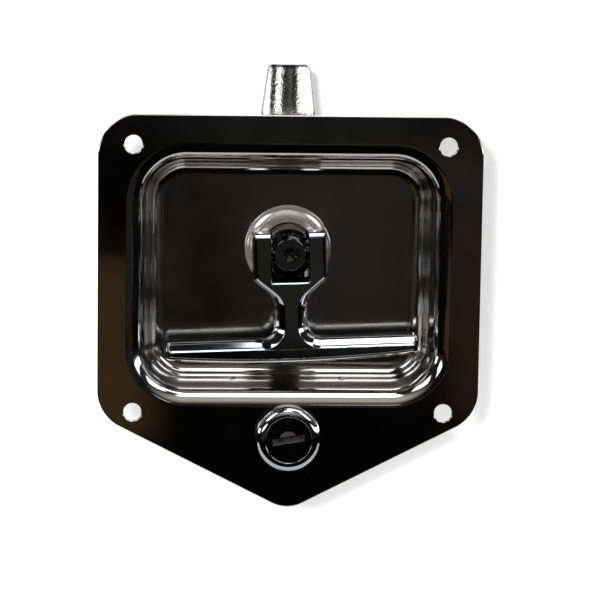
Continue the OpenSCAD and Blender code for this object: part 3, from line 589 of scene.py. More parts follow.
def handle_back(skin, s, ring):
    """Rear of the handle: round arms, a slope behind the stem and a flat bar."""
    flat = [Vector((skin.points[i].x, skin.points[i].z)) for i in ring]
    count = len(flat)
    levels = [share * s.arm_round for share in (0, 0.2, 0.4, 0.55, 0.7, 0.8, 0.88)]
    levels += rear_slope(s)
    beyond = 60 * MM
    lines = [Vector((side * beyond, level)) for level in levels for side in (-1, 1)]
    cuts = [(count + 2 * k, count + 2 * k + 1) for k in range(len(levels))]
    points, _, faces, *_ = delaunay_2d_cdt(flat + lines, cuts, [list(range(count))], 1, 1e-9)
    used = sorted({i for corners in faces for i in corners})
    step = 0.01 * MM
    back = []
    for p in (points[i] for i in used):
        slope = (handle_rear(s, p.y + step) - handle_rear(s, p.y - step)) / (2 * step)
        back.append((Vector((p.x, handle_rear(s, p.y), p.y)), Vector((0, 1, -slope)).normalized()))
    made = dict(zip(used, skin.ring(back)))
    for corners in faces:
        skin.face(*(made[i] for i in corners))


def spring_skin(s):
    """Round wire wound into a coil that fills the box of its solid."""
    skin = Skin()
    wire_r = s.wire / 2
    low, high = Vector(SPRING_LOW), Vector(SPRING_HIGH)
    centre = (low + high) / 2
    coil_r = (high.x - low.x) / 2 - wire_r
    rise = high.z - low.z - 2 * wire_r
    turns, around = 40 * s.coils, 14
    rings = []
    for t in spread(0, 1, turns):
        a = 2 * math.pi * s.coils * t
        out = Vector((math.cos(a), math.sin(a), 0))
        middle = Vector((centre.x, centre.y, low.z + wire_r + rise * t)) + coil_r * out
        lean = Vector((-math.sin(a), math.cos(a), rise / (2 * math.pi * s.coils * coil_r))).normalized()
        up = lean.cross(out)
        ring = [math.cos(b) * out + math.sin(b) * up for b in spread(0, 2 * math.pi, around)[:-1]]
        rings.append(skin.ring([(middle + wire_r * way, way) for way in ring]))
    skin.bridge(rings)
    for ring, way in ((rings[0], -1), (rings[-1], 1)):
        facing = way * (skin.points[rings[-1][0]] - skin.points[rings[-2][0]]).normalized()
        cap = skin.ring([(skin.points[i].copy(), facing) for i in ring])
        skin.fill([cap])
    return skin


def straight_run(*stops):
    """Rows of a straight run of a turned profile; its metal lies to the right of the way it goes."""
    (r0, y0), (r1, y1) = stops
    return [(r, y, y1 - y0, r0 - r1) for r, y in stops]


def round_run(r, y, across, deep, start, end):
    """Rows of an elliptic round about a centre; the angles run from the radius towards the front."""
    steps = math.ceil(abs(end - start) / 6)
    return [(r + across * math.cos(a), y - deep * math.sin(a), math.cos(a) / across, -math.sin(a) / deep)
            for a in spread(math.radians(start), math.radians(end), steps)]


def straight_runs(*stops):
    """Straight runs from stop to stop."""
    return [straight_run(a, b) for a, b in zip(stops, stops[1:])]


def turned_skin(low, high, runs):
    """Surface turned about the middle of a box, along Y; each run is smooth in itself."""
    skin = Skin()
    x, z = axis_of(low, high)
    around = 144
    ways = [turn(a) for a in spread(0, 2 * math.pi, around)[:-1]]
    for run in runs:
        skin.bridge([skin.ring([(Vector((x + r * w.x, y, z + r * w.y)), Vector((out * w.x, deep, out * w.y)))
                                for w in ways]) for r, y, out, deep in run])
    return skin


def bushing_skin(s):
    """Bushing with a broad soft shoulder, a thin foot on the floor and its sleeve behind."""
    face, end, floor = BUSHING_LOW[1], BUSHING_HIGH[1], PAN_HIGH[1] - s.sheet
    rim = (BUSHING_HIGH[0] - BUSHING_LOW[0]) / 2
    lip, foot = 0.25 * MM, 0.3 * MM
    sweep, curve = 42, s.bushing_curve
    side = s.bushing_face + curve * math.sin(math.radians(sweep))
    deep = curve * (1 - math.cos(math.radians(sweep)))
    runs = [
        round_run(s.bushing_bore + lip, face + lip, lip, lip, 180, 90),
        straight_run((s.bushing_bore + lip, face), (s.bushing_face, face)),
        round_run(s.bushing_face, face + curve, curve, curve, 90, 90 - sweep),
        round_run(rim - foot, floor - foot, foot, foot, 90, 0),
    ]
    runs += straight_runs((side, face + deep), (side, floor - 2 * foot), (rim - foot, floor - 2 * foot))
    runs += straight_runs((rim, floor - foot), (rim, floor), (s.sleeve_radius, floor), (s.sleeve_radius, end),
                          (s.bushing_bore, end), (s.bushing_bore, face + lip))
    return turned_skin(BUSHING_LOW, BUSHING_HIGH, runs)


def lock_skin(s):
    """Lock head with a round bezel, and its threaded barrel behind."""
    face, front, end = LOCK_LOW[1], PAN_LOW[1], LOCK_HIGH[1]
    rim = (LOCK_HIGH[0] - LOCK_LOW[0]) / 2
    lip, bezel, seat = 0.15 * MM, rim - s.lock_face, face + 1.4 * MM
    runs = [
        round_run(s.plug_head + lip, face + lip, lip, lip, 180, 90),
        straight_run((s.plug_head + lip, face), (s.lock_face, face)),
        round_run(s.lock_face, face + bezel, bezel, bezel, 90, 0),
    ]
    root, start = s.barrel_radius - s.thread_depth, MM
    thread = [(r, start + (i + share) * s.thread_pitch) for i in range(int((end - start) / s.thread_pitch))
              for r, share in ((root, 0.1), (s.barrel_radius, 0.42), (s.barrel_radius, 0.58), (root, 0.9))]
    runs += straight_runs((rim, face + bezel), (rim, front), (s.barrel_radius, front), (s.barrel_radius, start),
                          (root, start), *thread, (root, end), (s.plug_bore, end), (s.plug_bore, seat),
                          (s.plug_head, seat), (s.plug_head, face + lip))
    return turned_skin(LOCK_LOW, LOCK_HIGH, runs)


def smooth_group():
    """Geometry nodes that shade every face and edge smooth."""
    group = bpy.data.node_groups.get("Shade smooth")
    if group:
        return group
    group = bpy.data.node_groups.new("Shade smooth", "GeometryNodeTree")
    group.interface.new_socket("Geometry", in_out="INPUT", socket_type="NodeSocketGeometry")
    group.interface.new_socket("Geometry", in_out="OUTPUT", socket_type="NodeSocketGeometry")
    last = group.nodes.new("NodeGroupInput").outputs[0]
    for domain in ("FACE", "EDGE"):
        step = group.nodes.new("GeometryNodeSetShadeSmooth")
        step.domain = domain
        group.links.new(last, step.inputs["Geometry"])
        last = step.outputs["Geometry"]
    group.links.new(last, group.nodes.new("NodeGroupOutput").inputs[0])
    return group


def break_edges(node, width, segments=3):
    """Rounds the sharp edges of a solid's object with modifiers and leaves its mesh alone."""
    piece = frame["nodes"][node]
    weld = piece.modifiers.new("Join facets", "WELD")
    weld.merge_threshold = 0.001 * MM
    smooth = piece.modifiers.new("Shade smooth", "NODES")
    smooth.node_group = smooth_group()
    bevel = piece.modifiers.new("Broken edges", "BEVEL")
    bevel.limit_method = "ANGLE"
    bevel.angle_limit = math.radians(28)
    bevel.width = width
    bevel.segments = segments
    bevel.use_clamp_overlap = True
    bevel.miter_outer = "MITER_ARC"
    normals = piece.modifiers.new("Flat faces stay flat", "WEIGHTED_NORMAL")
    normals.mode = "FACE_AREA_WITH_ANGLE"
    normals.weight = 50
    normals.keep_sharp = False


def finish(material, *nodes):
    """Gives the objects of several solids one finish."""
    for node in nodes:
        for slot in frame["nodes"][node].material_slots:
            slot.material = material


# Finishes

class Nodes:
    """Short forms for building a node tree."""

    def __init__(self, tree):
        self.tree = tree

    def node(self, kind, **settings):
        made = self.tree.nodes.new(kind)
        for key, value in settings.items():
            setattr(made, key, value)
        return made

    def link(self, output, socket):
        self.tree.links.new(output, socket)

    def axes(self, vector):
        """The X, Y and Z of a vector, by name."""
        split = self.node("ShaderNodeSeparateXYZ")
        self.link(vector, split.inputs[0])
        return split.outputs

    def remap(self, value, low, high, start, end):
        """Straight-line change of a value from low..high to start..end."""
        change = self.node("ShaderNodeMapRange")
        for socket, number in zip(("From Min", "From Max", "To Min", "To Max"), (low, high, start, end)):
            change.inputs[socket].default_value = number
        self.link(value, change.inputs["Value"])
        return change.outputs["Result"]

    def add(self, a, b, operation="ADD"):
        result = self.node("ShaderNodeMath", operation=operation)
        self.link(a, result.inputs[0])
        self.link(b, result.inputs[1])
        return result.outputs[0]


class Metal(Nodes):
    """Node tree of one metal finish on a Principled shader."""

    def __init__(self, name, base, roughness):
        self.material = bpy.data.materials.new(name)
        self.material.use_nodes = True
        super().__init__(self.material.node_tree)
        self.shader = self.tree.nodes["Principled BSDF"]
        self.shader.inputs["Metallic"].default_value = 1
        self.shader.inputs["Base Color"].default_value = (*base, 1)
        self.shader.inputs["Roughness"].default_value = roughness
        self.material.diffuse_color = (*base, 1)
        self.place = self.node("ShaderNodeTexCoord").outputs["Object"]
        self.last_bump = None

    def noise(self, scale, detail=3.0, stretch=(1, 1, 1)):
        """Noise with about this many grains to a metre, stretched along an axis by a smaller factor."""
        mapping = self.node("ShaderNodeMapping")
        mapping.inputs["Scale"].default_value = stretch
        self.link(self.place, mapping.inputs["Vector"])
        noise = self.node("ShaderNodeTexNoise")
        noise.inputs["Scale"].default_value = scale
        noise.inputs["Detail"].default_value = detail
        self.link(mapping.outputs["Vector"], noise.inputs["Vector"])
        return noise.outputs["Fac"]

    def tint(self, value, dark, light):
        """Base colour between two colours, by a value."""
        mix = self.node("ShaderNodeMix", data_type="RGBA")
        mix.inputs["A"].default_value = (*dark, 1)
        mix.inputs["B"].default_value = (*light, 1)
        self.link(value, mix.inputs["Factor"])
        self.link(mix.outputs["Result"], self.shader.inputs["Base Color"])

    def mottle(self, value, base, dark, light, band=CLOUD):
        """Base colour between a darker and a lighter shade of itself, by a noise."""
        self.tint(self.remap(value, *band, 0, 1), shade(base, dark), shade(base, light))

    def rough(self, *parts):
        """Roughness as the sum of its parts."""
        total = parts[0]
        for part in parts[1:]:
            total = self.add(total, part)
        self.link(total, self.shader.inputs["Roughness"])

    def bump(self, value, depth):
        """Adds a bump of this depth in metres on top of earlier ones."""
        bump = self.node("ShaderNodeBump")
        bump.inputs["Strength"].default_value = 1
        bump.inputs["Distance"].default_value = depth
        self.link(value, bump.inputs["Height"])
        if self.last_bump:
            self.link(self.last_bump, bump.inputs["Normal"])
        self.last_bump = bump.outputs["Normal"]
        self.link(self.last_bump, self.shader.inputs["Normal"])


def shade(base, share):
    """A colour made darker or lighter."""
    return tuple(min(1, c * share) for c in base)


def polished_stainless():
    """Mirror polish on the flange that dulls towards the floor of the pan, with faint drawing lines."""
    f = finishes()
    metal = Metal("polished_stainless", f.stainless, f.stainless_flange)
    deep = metal.axes(metal.place)["Y"]
    lines = metal.noise(2600, 2, (1, 1, 0.03))
    blotch = metal.noise(90, 4)
    metal.rough(metal.remap(deep, 0, PAN_HIGH[1] - 2 * MM, f.stainless_flange, f.stainless_floor),
                metal.remap(lines, *GRAIN, -0.006, 0.008), metal.remap(blotch, *CLOUD, -0.02, 0.03))
    metal.mottle(blotch, f.stainless, 0.93, 1.04)
    metal.bump(metal.noise(45, 2), 0.006 * MM)
    return metal.material


def polished_handle():
    """Bright plate over a hand-polished casting."""
    f = finishes()
    metal = Metal("polished_handle", f.handle, f.handle_roughness)
    cloud = metal.noise(160, 4)
    scratch = metal.noise(2400, 2, (0.05, 1, 1))
    metal.rough(metal.remap(cloud, *CLOUD, f.handle_roughness - 0.015, f.handle_roughness + 0.02),
                metal.remap(scratch, 0.4, 0.7, 0, 0.012))
    metal.mottle(cloud, f.handle, 0.94, 1.03)
    metal.bump(metal.noise(120, 2), 0.006 * MM)
    return metal.material


def chromed_lock():
    """Bright chrome with fine polishing haze, and raw metal inside the key slot."""
    f = finishes()
    metal = Metal("chromed_lock", f.chrome, f.chrome_roughness)
    haze = metal.noise(300, 5)
    lock_x, lock_z = axis_of(LOCK_LOW, LOCK_HIGH)
    flat = metal.node("ShaderNodeVectorMath", operation="MULTIPLY")
    flat.inputs[1].default_value = (1, 0, 1)
    metal.link(metal.place, flat.inputs[0])
    away = metal.node("ShaderNodeVectorMath", operation="DISTANCE")
    away.inputs[1].default_value = (lock_x, 0, lock_z)
    metal.link(flat.outputs[0], away.inputs[0])
    slot_reach, slot_start, fade = 6.2 * MM, LOCK_LOW[1] + 0.3 * MM, 0.2 * MM
    raw = metal.add(metal.remap(away.outputs["Value"], slot_reach, slot_reach + fade, 1, 0),
                    metal.remap(metal.axes(metal.place)["Y"], slot_start, slot_start + fade, 0, 1), "MULTIPLY")
    metal.rough(metal.remap(haze, *CLOUD, f.chrome_roughness - 0.02, f.chrome_roughness + 0.05),
                metal.remap(raw, 0, 1, 0, 0.36))
    metal.tint(raw, f.chrome, f.raw_zinc)
    metal.bump(metal.noise(260, 2), 0.004 * MM)
    return metal.material


def zinc_bolt():
    """Bright zinc over a tumbled casting, with its orange-peel speckle, and a painted dark reflection along its top
    and side edges.
    """
    f = finishes()
    metal = Metal("zinc_bolt", f.bolt, f.bolt_roughness)
    speckle = metal.noise(1500, 3)
    patch = metal.noise(220, 4)
    metal.rough(metal.remap(patch, *CLOUD, f.bolt_roughness - 0.03, f.bolt_roughness + 0.05),
                metal.remap(speckle, 0.35, 0.7, -0.02, 0.07))
    # Painted dark reflection: the colour darkens towards the top edge and the two side edges of the bolt
    place = metal.axes(metal.place)
    foot_half, crest_half = 7.8 * MM, 6.1 * MM
    crest = metal.remap(place["Z"], BOLT_TOP - 0.3 * MM, BOLT_TOP - 1.1 * MM, 0, 1)
    side = metal.node("ShaderNodeMath", operation="ABSOLUTE")
    metal.link(place["X"], side.inputs[0])
    taper = metal.remap(place["Z"], PAN_HIGH[2], BOLT_TOP, foot_half, crest_half)
    flank = metal.remap(metal.add(taper, side.outputs[0], "SUBTRACT"), 0.1 * MM, 0.5 * MM, 0, 1)
    clear_of_painted_edge = metal.add(crest, flank, "MULTIPLY")
    metal.tint(metal.add(clear_of_painted_edge, metal.remap(patch, *GRAIN, 0.88, 1), "MULTIPLY"), f.painted_edge_dark, f.bolt)
    metal.bump(speckle, 0.08 * MM)
    metal.bump(metal.noise(380, 2), 0.012 * MM)
    return metal.material


def grey_zinc():
    """Dull zinc with grey mottling."""
    f = finishes()
    metal = Metal("grey_zinc", f.bushing, 0.26)
    mottle = metal.noise(1500, 4)
    metal.shader.inputs["Metallic"].default_value = 0.9
    metal.rough(metal.remap(mottle, *CLOUD, 0.2, 0.24))
    metal.mottle(mottle, f.bushing, 0.86, 1, GRAIN)
    return metal.material


def turned_steel():
    """Turned steel, darker in front of the pan floor, with a painted reflection that lightens faces that look
    straight forward.
    """
    f = finishes()
    metal = Metal("turned_steel", f.turned, 0.2)
    marks = metal.noise(3200, 2, (1, 0.2, 1))
    stain = metal.noise(240, 4)
    metal.rough(metal.remap(stain, *CLOUD, 0.07, 0.14), metal.remap(marks, *GRAIN, -0.01, 0.02))
    # Darker in front of the pan floor, turned steel colour behind it
    black_end, bright_start = PIN[1] + 5.5 * MM, PIN[1] + 7.5 * MM
    bright = metal.remap(metal.axes(metal.place)["Y"], black_end, bright_start, 0, 0.9)
    # Painted reflection: faces whose normal points straight forward are lightened towards the turned steel colour
    facing = metal.axes(metal.node("ShaderNodeTexCoord").outputs["Normal"])
    face = metal.remap(facing["Y"], -0.99, -0.95, 0.9, 0)
    metal.tint(metal.add(metal.add(bright, face), metal.remap(stain, *CLOUD, -0.03, 0.08)), f.dark_front_colour, f.turned)
    metal.bump(marks, 0.002 * MM)
    return metal.material


def yellow_zinc():
    """Yellow passivated zinc, paler and greener in clouds."""
    f = finishes()
    metal = Metal("yellow_zinc", f.yellow_zinc, 0.28)
    cloud = metal.noise(110, 5)
    grain = metal.noise(1800, 3)
    metal.rough(metal.remap(cloud, *CLOUD, 0.22, 0.36), metal.remap(grain, *CLOUD, -0.03, 0.05))
    metal.tint(metal.remap(cloud, *GRAIN, 0, 1), f.pale_zinc, f.yellow_zinc)
    metal.bump(grain, 0.006 * MM)
    return metal.material


def dark_spring_steel():
    """Blued steel, browner in patches."""
    f = finishes()
    metal = Metal("dark_spring_steel", f.dark_steel, 0.32)
    cloud = metal.noise(260, 5)
    metal.rough(metal.remap(cloud, *CLOUD, 0.25, 0.42))
    metal.tint(metal.remap(cloud, 0.35, 0.7, 0, 1), f.dark_steel, f.brown_steel)
    metal.bump(metal.noise(2600, 3), 0.004 * MM)
    return metal.material


def mottled(name, base, roughness, cloud, rough, tones, stain=None, grain=None, depth=0.004):
    """Finish whose roughness follows one noise; tone and bump follow it too, or noises of their own."""
    metal = Metal(name, base, roughness)
    noise = metal.noise(*cloud)
    metal.rough(metal.remap(noise, *CLOUD, *rough))
    metal.mottle(metal.noise(*stain) if stain else noise, base, *tones)
    metal.bump(metal.noise(*grain) if grain else noise, depth * MM)
    return metal.material


def zinc_hardware():
    """Bright zinc of bought nuts, washers and screws."""
    return mottled("zinc_hardware", finishes().zinc, 0.24, (320, 4), (0.18, 0.34), (0.85, 1.05),
                   grain=(2200, 3), depth=0.005)


def bronze_roller():
    """Machined bronze with rings from the lathe."""
    return mottled("bronze_roller", finishes().bronze, 0.26, (4200, 2, (0.1, 1, 0.1)), (0.2, 0.34), (0.8, 1.06),
                   stain=(400, 4))


def spring_wire():
    """Drawn wire with draw lines."""
    return mottled("spring_wire", finishes().wire, 0.22, (1600, 4), (0.16, 0.32), (0.8, 1.06))


def shutter_steel():
    """Stamped steel darkened by handling."""
    return mottled("shutter_steel", finishes().shutter, 0.3, (900, 4, (0.2, 1, 1)), (0.22, 0.4), (0.7, 1.2))


# Pieces

class PanOperator(Operator):
    """Build the pressed pan with true bends, sheared edges and dimples"""
    bl_idname = "latch.pan"
    bl_label = "Pan"

    def execute(self, context):
        pan = pan_skin(sizes()).build("pressed_pan")
        pan.data.materials.append(polished_stainless())
        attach(pan, "pan")
        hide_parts("pan")
        return {"FINISHED"}


class HandleOperator(Operator):
    """Dress the T handle, its pin and the shaft that carries it"""
    bl_idname = "latch.handle"
    bl_label = "Handle and shaft"

    def execute(self, context):
        s = sizes()
        handle = handle_skin(s).build("cast_handle")
        handle.data.transform(Matrix.Translation(PIN) @ Matrix.Rotation(-s.lean, 4, "Y"))
        handle.data.materials.append(polished_handle())
        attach(handle, "handle")
        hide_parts("t_handle")
        break_edges("handle_shaft", s.fine_break / 6)
        break_edges("pivot_pin", s.fine_break)
        finish(turned_steel(), "handle_shaft", "pivot_pin", "crank_stud", "turn_stop", "spring_peg")
        return {"FINISHED"}


class BushingOperator(Operator):
    """Dress the bushing, its ring and the spring washer"""
    bl_idname = "latch.bushing"
    bl_label = "Bushing"

    def execute(self, context):
        bushing = bushing_skin(sizes()).build("turned_bushing")
        bushing.data.materials.append(grey_zinc())
        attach(bushing, "pan")
        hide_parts("shaft_bushing")
        for node in ("bushing_ring", "wave_washer"):
            break_edges(node, sizes().fine_break)
        finish(dark_spring_steel(), "bushing_ring", "wave_washer", "stud_clip")
        return {"FINISHED"}


class CrankOperator(Operator):
    """Dress the crank with its stud, roller, clip, washer, nut and stop"""
    bl_idname = "latch.crank"
    bl_label = "Crank"

    def execute(self, context):
        s = sizes()
        break_edges("drive_crank", 2 * s.fine_break)
        for node in ("crank_stud", "stud_roller", "stud_clip", "shaft_washer", "shaft_nut", "turn_stop"):
            break_edges(node, s.fine_break)
        finish(yellow_zinc(), "drive_crank", "bolt_guide", "spring_anchor", "lock_cam")
        finish(bronze_roller(), "stud_roller")
        finish(zinc_hardware(), "shaft_washer", "shaft_nut", "lock_washer", "lock_nut", "cam_washer", "cam_screw")
        return {"FINISHED"}


class BoltOperator(Operator):
    """Dress the bolt and its guide"""
    bl_idname = "latch.bolt"
    bl_label = "Bolt and guide"

    def execute(self, context):
        s = sizes()
        break_edges("latch_bolt", s.bolt_break, 4)
        break_edges("bolt_guide", 2 * s.fine_break)
        finish(zinc_bolt(), "latch_bolt")
        return {"FINISHED"}


class SpringOperator(Operator):
    """Wind the bolt spring and dress its bracket and peg"""
    bl_idname = "latch.spring"
    bl_label = "Spring"

    def execute(self, context):
        s = sizes()
        spring = spring_skin(s).build("wound_spring")
        spring.data.materials.append(spring_wire())
        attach(spring, "pan")
        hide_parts("bolt_spring")
        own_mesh(spring)
        break_edges("spring_anchor", 2 * s.fine_break)
        break_edges("spring_peg", s.fine_break)
        return {"FINISHED"}


class LockOperator(Operator):
    """Dress the lock with its plug, shutter, nut, cam and screw"""
    bl_idname = "latch.lock"
    bl_label = "Lock"

    def execute(self, context):
        s = sizes()
        chrome = chromed_lock()
        body = lock_skin(s).build("turned_lock")
        body.data.materials.append(chrome)
        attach(body, "pan")
        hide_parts("lock_body")
        for node in ("key_plug", "lock_washer", "lock_nut", "cam_washer", "cam_screw", "dust_shutter"):
            break_edges(node, s.fine_break)
        break_edges("lock_cam", 2 * s.fine_break)
        finish(chrome, "key_plug")
        finish(shutter_steel(), "dust_shutter")
        return {"FINISHED"}


# Studio

def direction(azimuth, elevation):
    """Unit direction from the latch; azimuth is to the right of the front, elevation is up."""
    return Vector((math.sin(azimuth) * math.cos(elevation), -math.cos(azimuth) * math.cos(elevation),
                   math.sin(elevation)))


def unseen(piece):
    """A card that only shows in reflections."""
    piece.visible_camera = False
    piece.visible_shadow = False
    piece.visible_diffuse = False
    piece.visible_transmission = False


def card(name, azimuths, elevations, distance, material):
    """A curved card around the latch between two azimuths and two elevations, in degrees."""
    across, up = 24, 16
    points, uvs = [], []
    for v in spread(0, 1, up):
        for u in spread(0, 1, across):
            a = math.radians(azimuths[0] + (azimuths[1] - azimuths[0]) * u)
            e = math.radians(elevations[0] + (elevations[1] - elevations[0]) * v)
            points.append(distance * direction(a, e))
            uvs.append((u, v))
    row = across + 1
    faces = [(i + j * row, i + 1 + j * row, i + 1 + (j + 1) * row, i + (j + 1) * row)
             for j in range(up) for i in range(across)]
    return card_object(name, points, faces, uvs, material)


def level(across, along, z):
    """Corners of a level rectangle between two X and two Y."""
    return [(across[0], along[0], z), (across[1], along[0], z), (across[1], along[1], z), (across[0], along[1], z)]


def flat_card(name, corners, material):
    """A flat card with four corners."""
    return card_object(name, corners, [(0, 1, 2, 3)], [(0, 0), (1, 0), (1, 1), (0, 1)], material)


def plain_object(name, points, faces, material):
    """A mesh object with one material."""
    mesh = bpy.data.meshes.new(name)
    mesh.from_pydata([tuple(p) for p in points], [], faces)
    mesh.materials.append(material)
    made = bpy.data.objects.new(name, mesh)
    bpy.context.collection.objects.link(made)
    return made


def card_object(name, points, faces, uvs, material):
    """A card whose UVs run across it, for the fade at its edges."""
    made = plain_object(name, points, faces, material)
    layer = made.data.uv_layers.new(name="card")
    for loop in made.data.loops:
        layer.data[loop.index].uv = uvs[loop.vertex_index]
    unseen(made)
    return made


def stage_plane(name, corners, material):
    """A plane that the camera sees."""
    plain_object(name, corners, [(0, 1, 2, 3)], material)


def empty_material(name):
    """A material without shader; returns it, its node tree and the socket that takes its surface."""
    material = bpy.data.materials.new(name)
    material.use_nodes = True
    nodes = Nodes(material.node_tree)
    nodes.tree.nodes.clear()
    return material, nodes, nodes.node("ShaderNodeOutputMaterial").inputs["Surface"]


def glow(name, tone, strength, feather=0.0, around=(0.0, 0.0, 0.0)):
    """Emission that fades at the card's edges to the tone around it."""
    material, nodes, surface = empty_material(name)
    emission = nodes.node("ShaderNodeEmission")
    nodes.link(emission.outputs[0], surface)
    if not feather:
        emission.inputs["Color"].default_value = (*tone, 1)
        emission.inputs["Strength"].default_value = strength
        return material
    place = nodes.axes(nodes.node("ShaderNodeUVMap").outputs[0])
    fades = []
    for axis in ("X", "Y"):
        mirror = nodes.node("ShaderNodeMath", operation="PINGPONG")
        mirror.inputs[1].default_value = 0.5
        nodes.link(place[axis], mirror.inputs[0])
        fade = nodes.node("ShaderNodeMapRange", interpolation_type="SMOOTHSTEP")
        fade.inputs["From Max"].default_value = feather
        nodes.link(mirror.outputs[0], fade.inputs["Value"])
        fades.append(fade.outputs["Result"])
    mix = nodes.node("ShaderNodeMix", data_type="RGBA")
    mix.inputs["A"].default_value = (*around, 1)
    mix.inputs["B"].default_value = (*(c * strength for c in tone), 1)
    nodes.link(nodes.add(*fades, "MULTIPLY"), mix.inputs["Factor"])
    nodes.link(mix.outputs["Result"], emission.inputs["Color"])
    return material


def room_dark(azimuths, elevations):
    """Dark side of the room in front of the latch: brown to the sides, black below."""
    material, nodes, surface = empty_material("room_dark")
    emission = nodes.node("ShaderNodeEmission")
    nodes.link(emission.outputs[0], surface)
    place = nodes.axes(nodes.node("ShaderNodeUVMap").outputs[0])

    def ramp(axis, ends, stops):
        made = nodes.node("ShaderNodeValToRGB")
        nodes.link(place[axis], made.inputs[0])
        elements = made.color_ramp.elements
        while len(elements) < len(stops):
            elements.new(0.5)
        for element, (degrees, tone) in zip(elements, stops):
            element.position = (degrees - ends[0]) / (ends[1] - ends[0])
            element.color = (*tone, 1)
        return made.outputs["Color"]

    black, olive, dim = (0.004, 0.003, 0.003), (0.014, 0.014, 0.013), (0.008, 0.006, 0.006)
    brown, grey = (0.02, 0.017, 0.014), (0.02, 0.02, 0.02)
    across = ramp("X", azimuths, [(-30, brown), (-5, black), (-2.6, black), (-0.5, olive), (6.5, olive), (9, dim),
                                  (40, grey)])
    up = ramp("Y", elevations, [(-30, (0.02,) * 3), (-14, (0.03,) * 3), (-12, (0.9,) * 3), (-5, (1,) * 3),
                                (-3.8, (0.5,) * 3), (-2.4, (1, 1.1, 1.3)), (12, (0.8, 0.9, 1.1))])
    mix = nodes.node("ShaderNodeMix", data_type="RGBA", blend_type="MULTIPLY")
    mix.inputs["Factor"].default_value = 1
    nodes.link(across, mix.inputs["A"])
    nodes.link(up, mix.inputs["B"])
    nodes.link(mix.outputs["Result"], emission.inputs["Color"])
    return material


def white_room(ambient):
    """World that is white in the picture and in metal, and dimmer for rough surfaces."""
    world = bpy.data.worlds.new("white_room")
    bpy.context.scene.world = world
    world.use_nodes = True
    nodes = Nodes(world.node_tree)
    rays = nodes.node("ShaderNodeLightPath").outputs
    seen = rays["Is Camera Ray"]
    for name in ("Is Glossy Ray", "Is Transmission Ray"):
        seen = nodes.add(seen, rays[name], "MAXIMUM")
    background = nodes.tree.nodes["Background"].inputs
    background["Color"].default_value = (1, 1, 1, 1)
    nodes.link(nodes.remap(seen, 0, 1, ambient, 1), background["Strength"])


def wall_paint(wall_glow):
    """White wall that the camera sees from its front, with the shadow that falls on it."""
    material, nodes, surface = empty_material("white_wall")
    lit = nodes.node("ShaderNodeBsdfDiffuse")
    lit.inputs["Color"].default_value = (0.8, 0.8, 0.8, 1)
    own = nodes.node("ShaderNodeEmission")
    own.inputs["Strength"].default_value = wall_glow
    both = nodes.node("ShaderNodeAddShader")
    nodes.link(lit.outputs[0], both.inputs[0])
    nodes.link(own.outputs[0], both.inputs[1])
    front = nodes.node("ShaderNodeMath", operation="SUBTRACT", use_clamp=True)
    nodes.link(nodes.node("ShaderNodeLightPath").outputs["Is Camera Ray"], front.inputs[0])
    nodes.link(nodes.node("ShaderNodeNewGeometry").outputs["Backfacing"], front.inputs[1])
    mix = nodes.node("ShaderNodeMixShader")
    nodes.link(front.outputs[0], mix.inputs["Fac"])
    nodes.link(nodes.node("ShaderNodeBsdfTransparent").outputs[0], mix.inputs[1])
    nodes.link(both.outputs[0], mix.inputs[2])
    nodes.link(mix.outputs[0], surface)
    return material


def floor_paint():
    """Plain pale floor."""
    material = bpy.data.materials.new("pale_floor")
    material.use_nodes = True
    shader = material.node_tree.nodes["Principled BSDF"]
    shader.inputs["Base Color"].default_value = (0.86, 0.86, 0.86, 1)
    shader.inputs["Roughness"].default_value = 0.7
    return material


def add_camera(t):
    """The camera, turned, raised and rolled about the hole centre."""
    data = bpy.data.cameras.new("camera")
    data.sensor_width = 36
    data.lens = t.lens
    data.shift_x = t.shift_x
    data.shift_y = t.shift_y
    data.clip_start = 0.01
    back = direction(t.azimuth, t.elevation)
    right = Vector((0, 0, 1)).cross(back).normalized()
    up = back.cross(right)
    across = math.cos(t.roll) * right + math.sin(t.roll) * up
    above = back.cross(across)
    camera = bpy.data.objects.new("camera", data)
    camera.matrix_world = Matrix((across, above, back)).transposed().to_4x4()
    camera.location = t.distance * back
    bpy.context.collection.objects.link(camera)
    bpy.context.scene.camera = camera


def add_key(t):
    """The lamp that casts the shadow on the wall, one metre away; metal doesn't reflect it."""
    data = bpy.data.lights.new("key", "AREA")
    data.shape = "DISK"
    data.size = t.key_size
    data.energy = t.key_energy
    lamp = bpy.data.objects.new("key", data)
    way = direction(t.key_azimuth, t.key_elevation)
    lamp.location = way
    lamp.rotation_euler = way.to_track_quat("Z", "Y").to_euler()
    lamp.visible_glossy = False
    bpy.context.collection.objects.link(lamp)


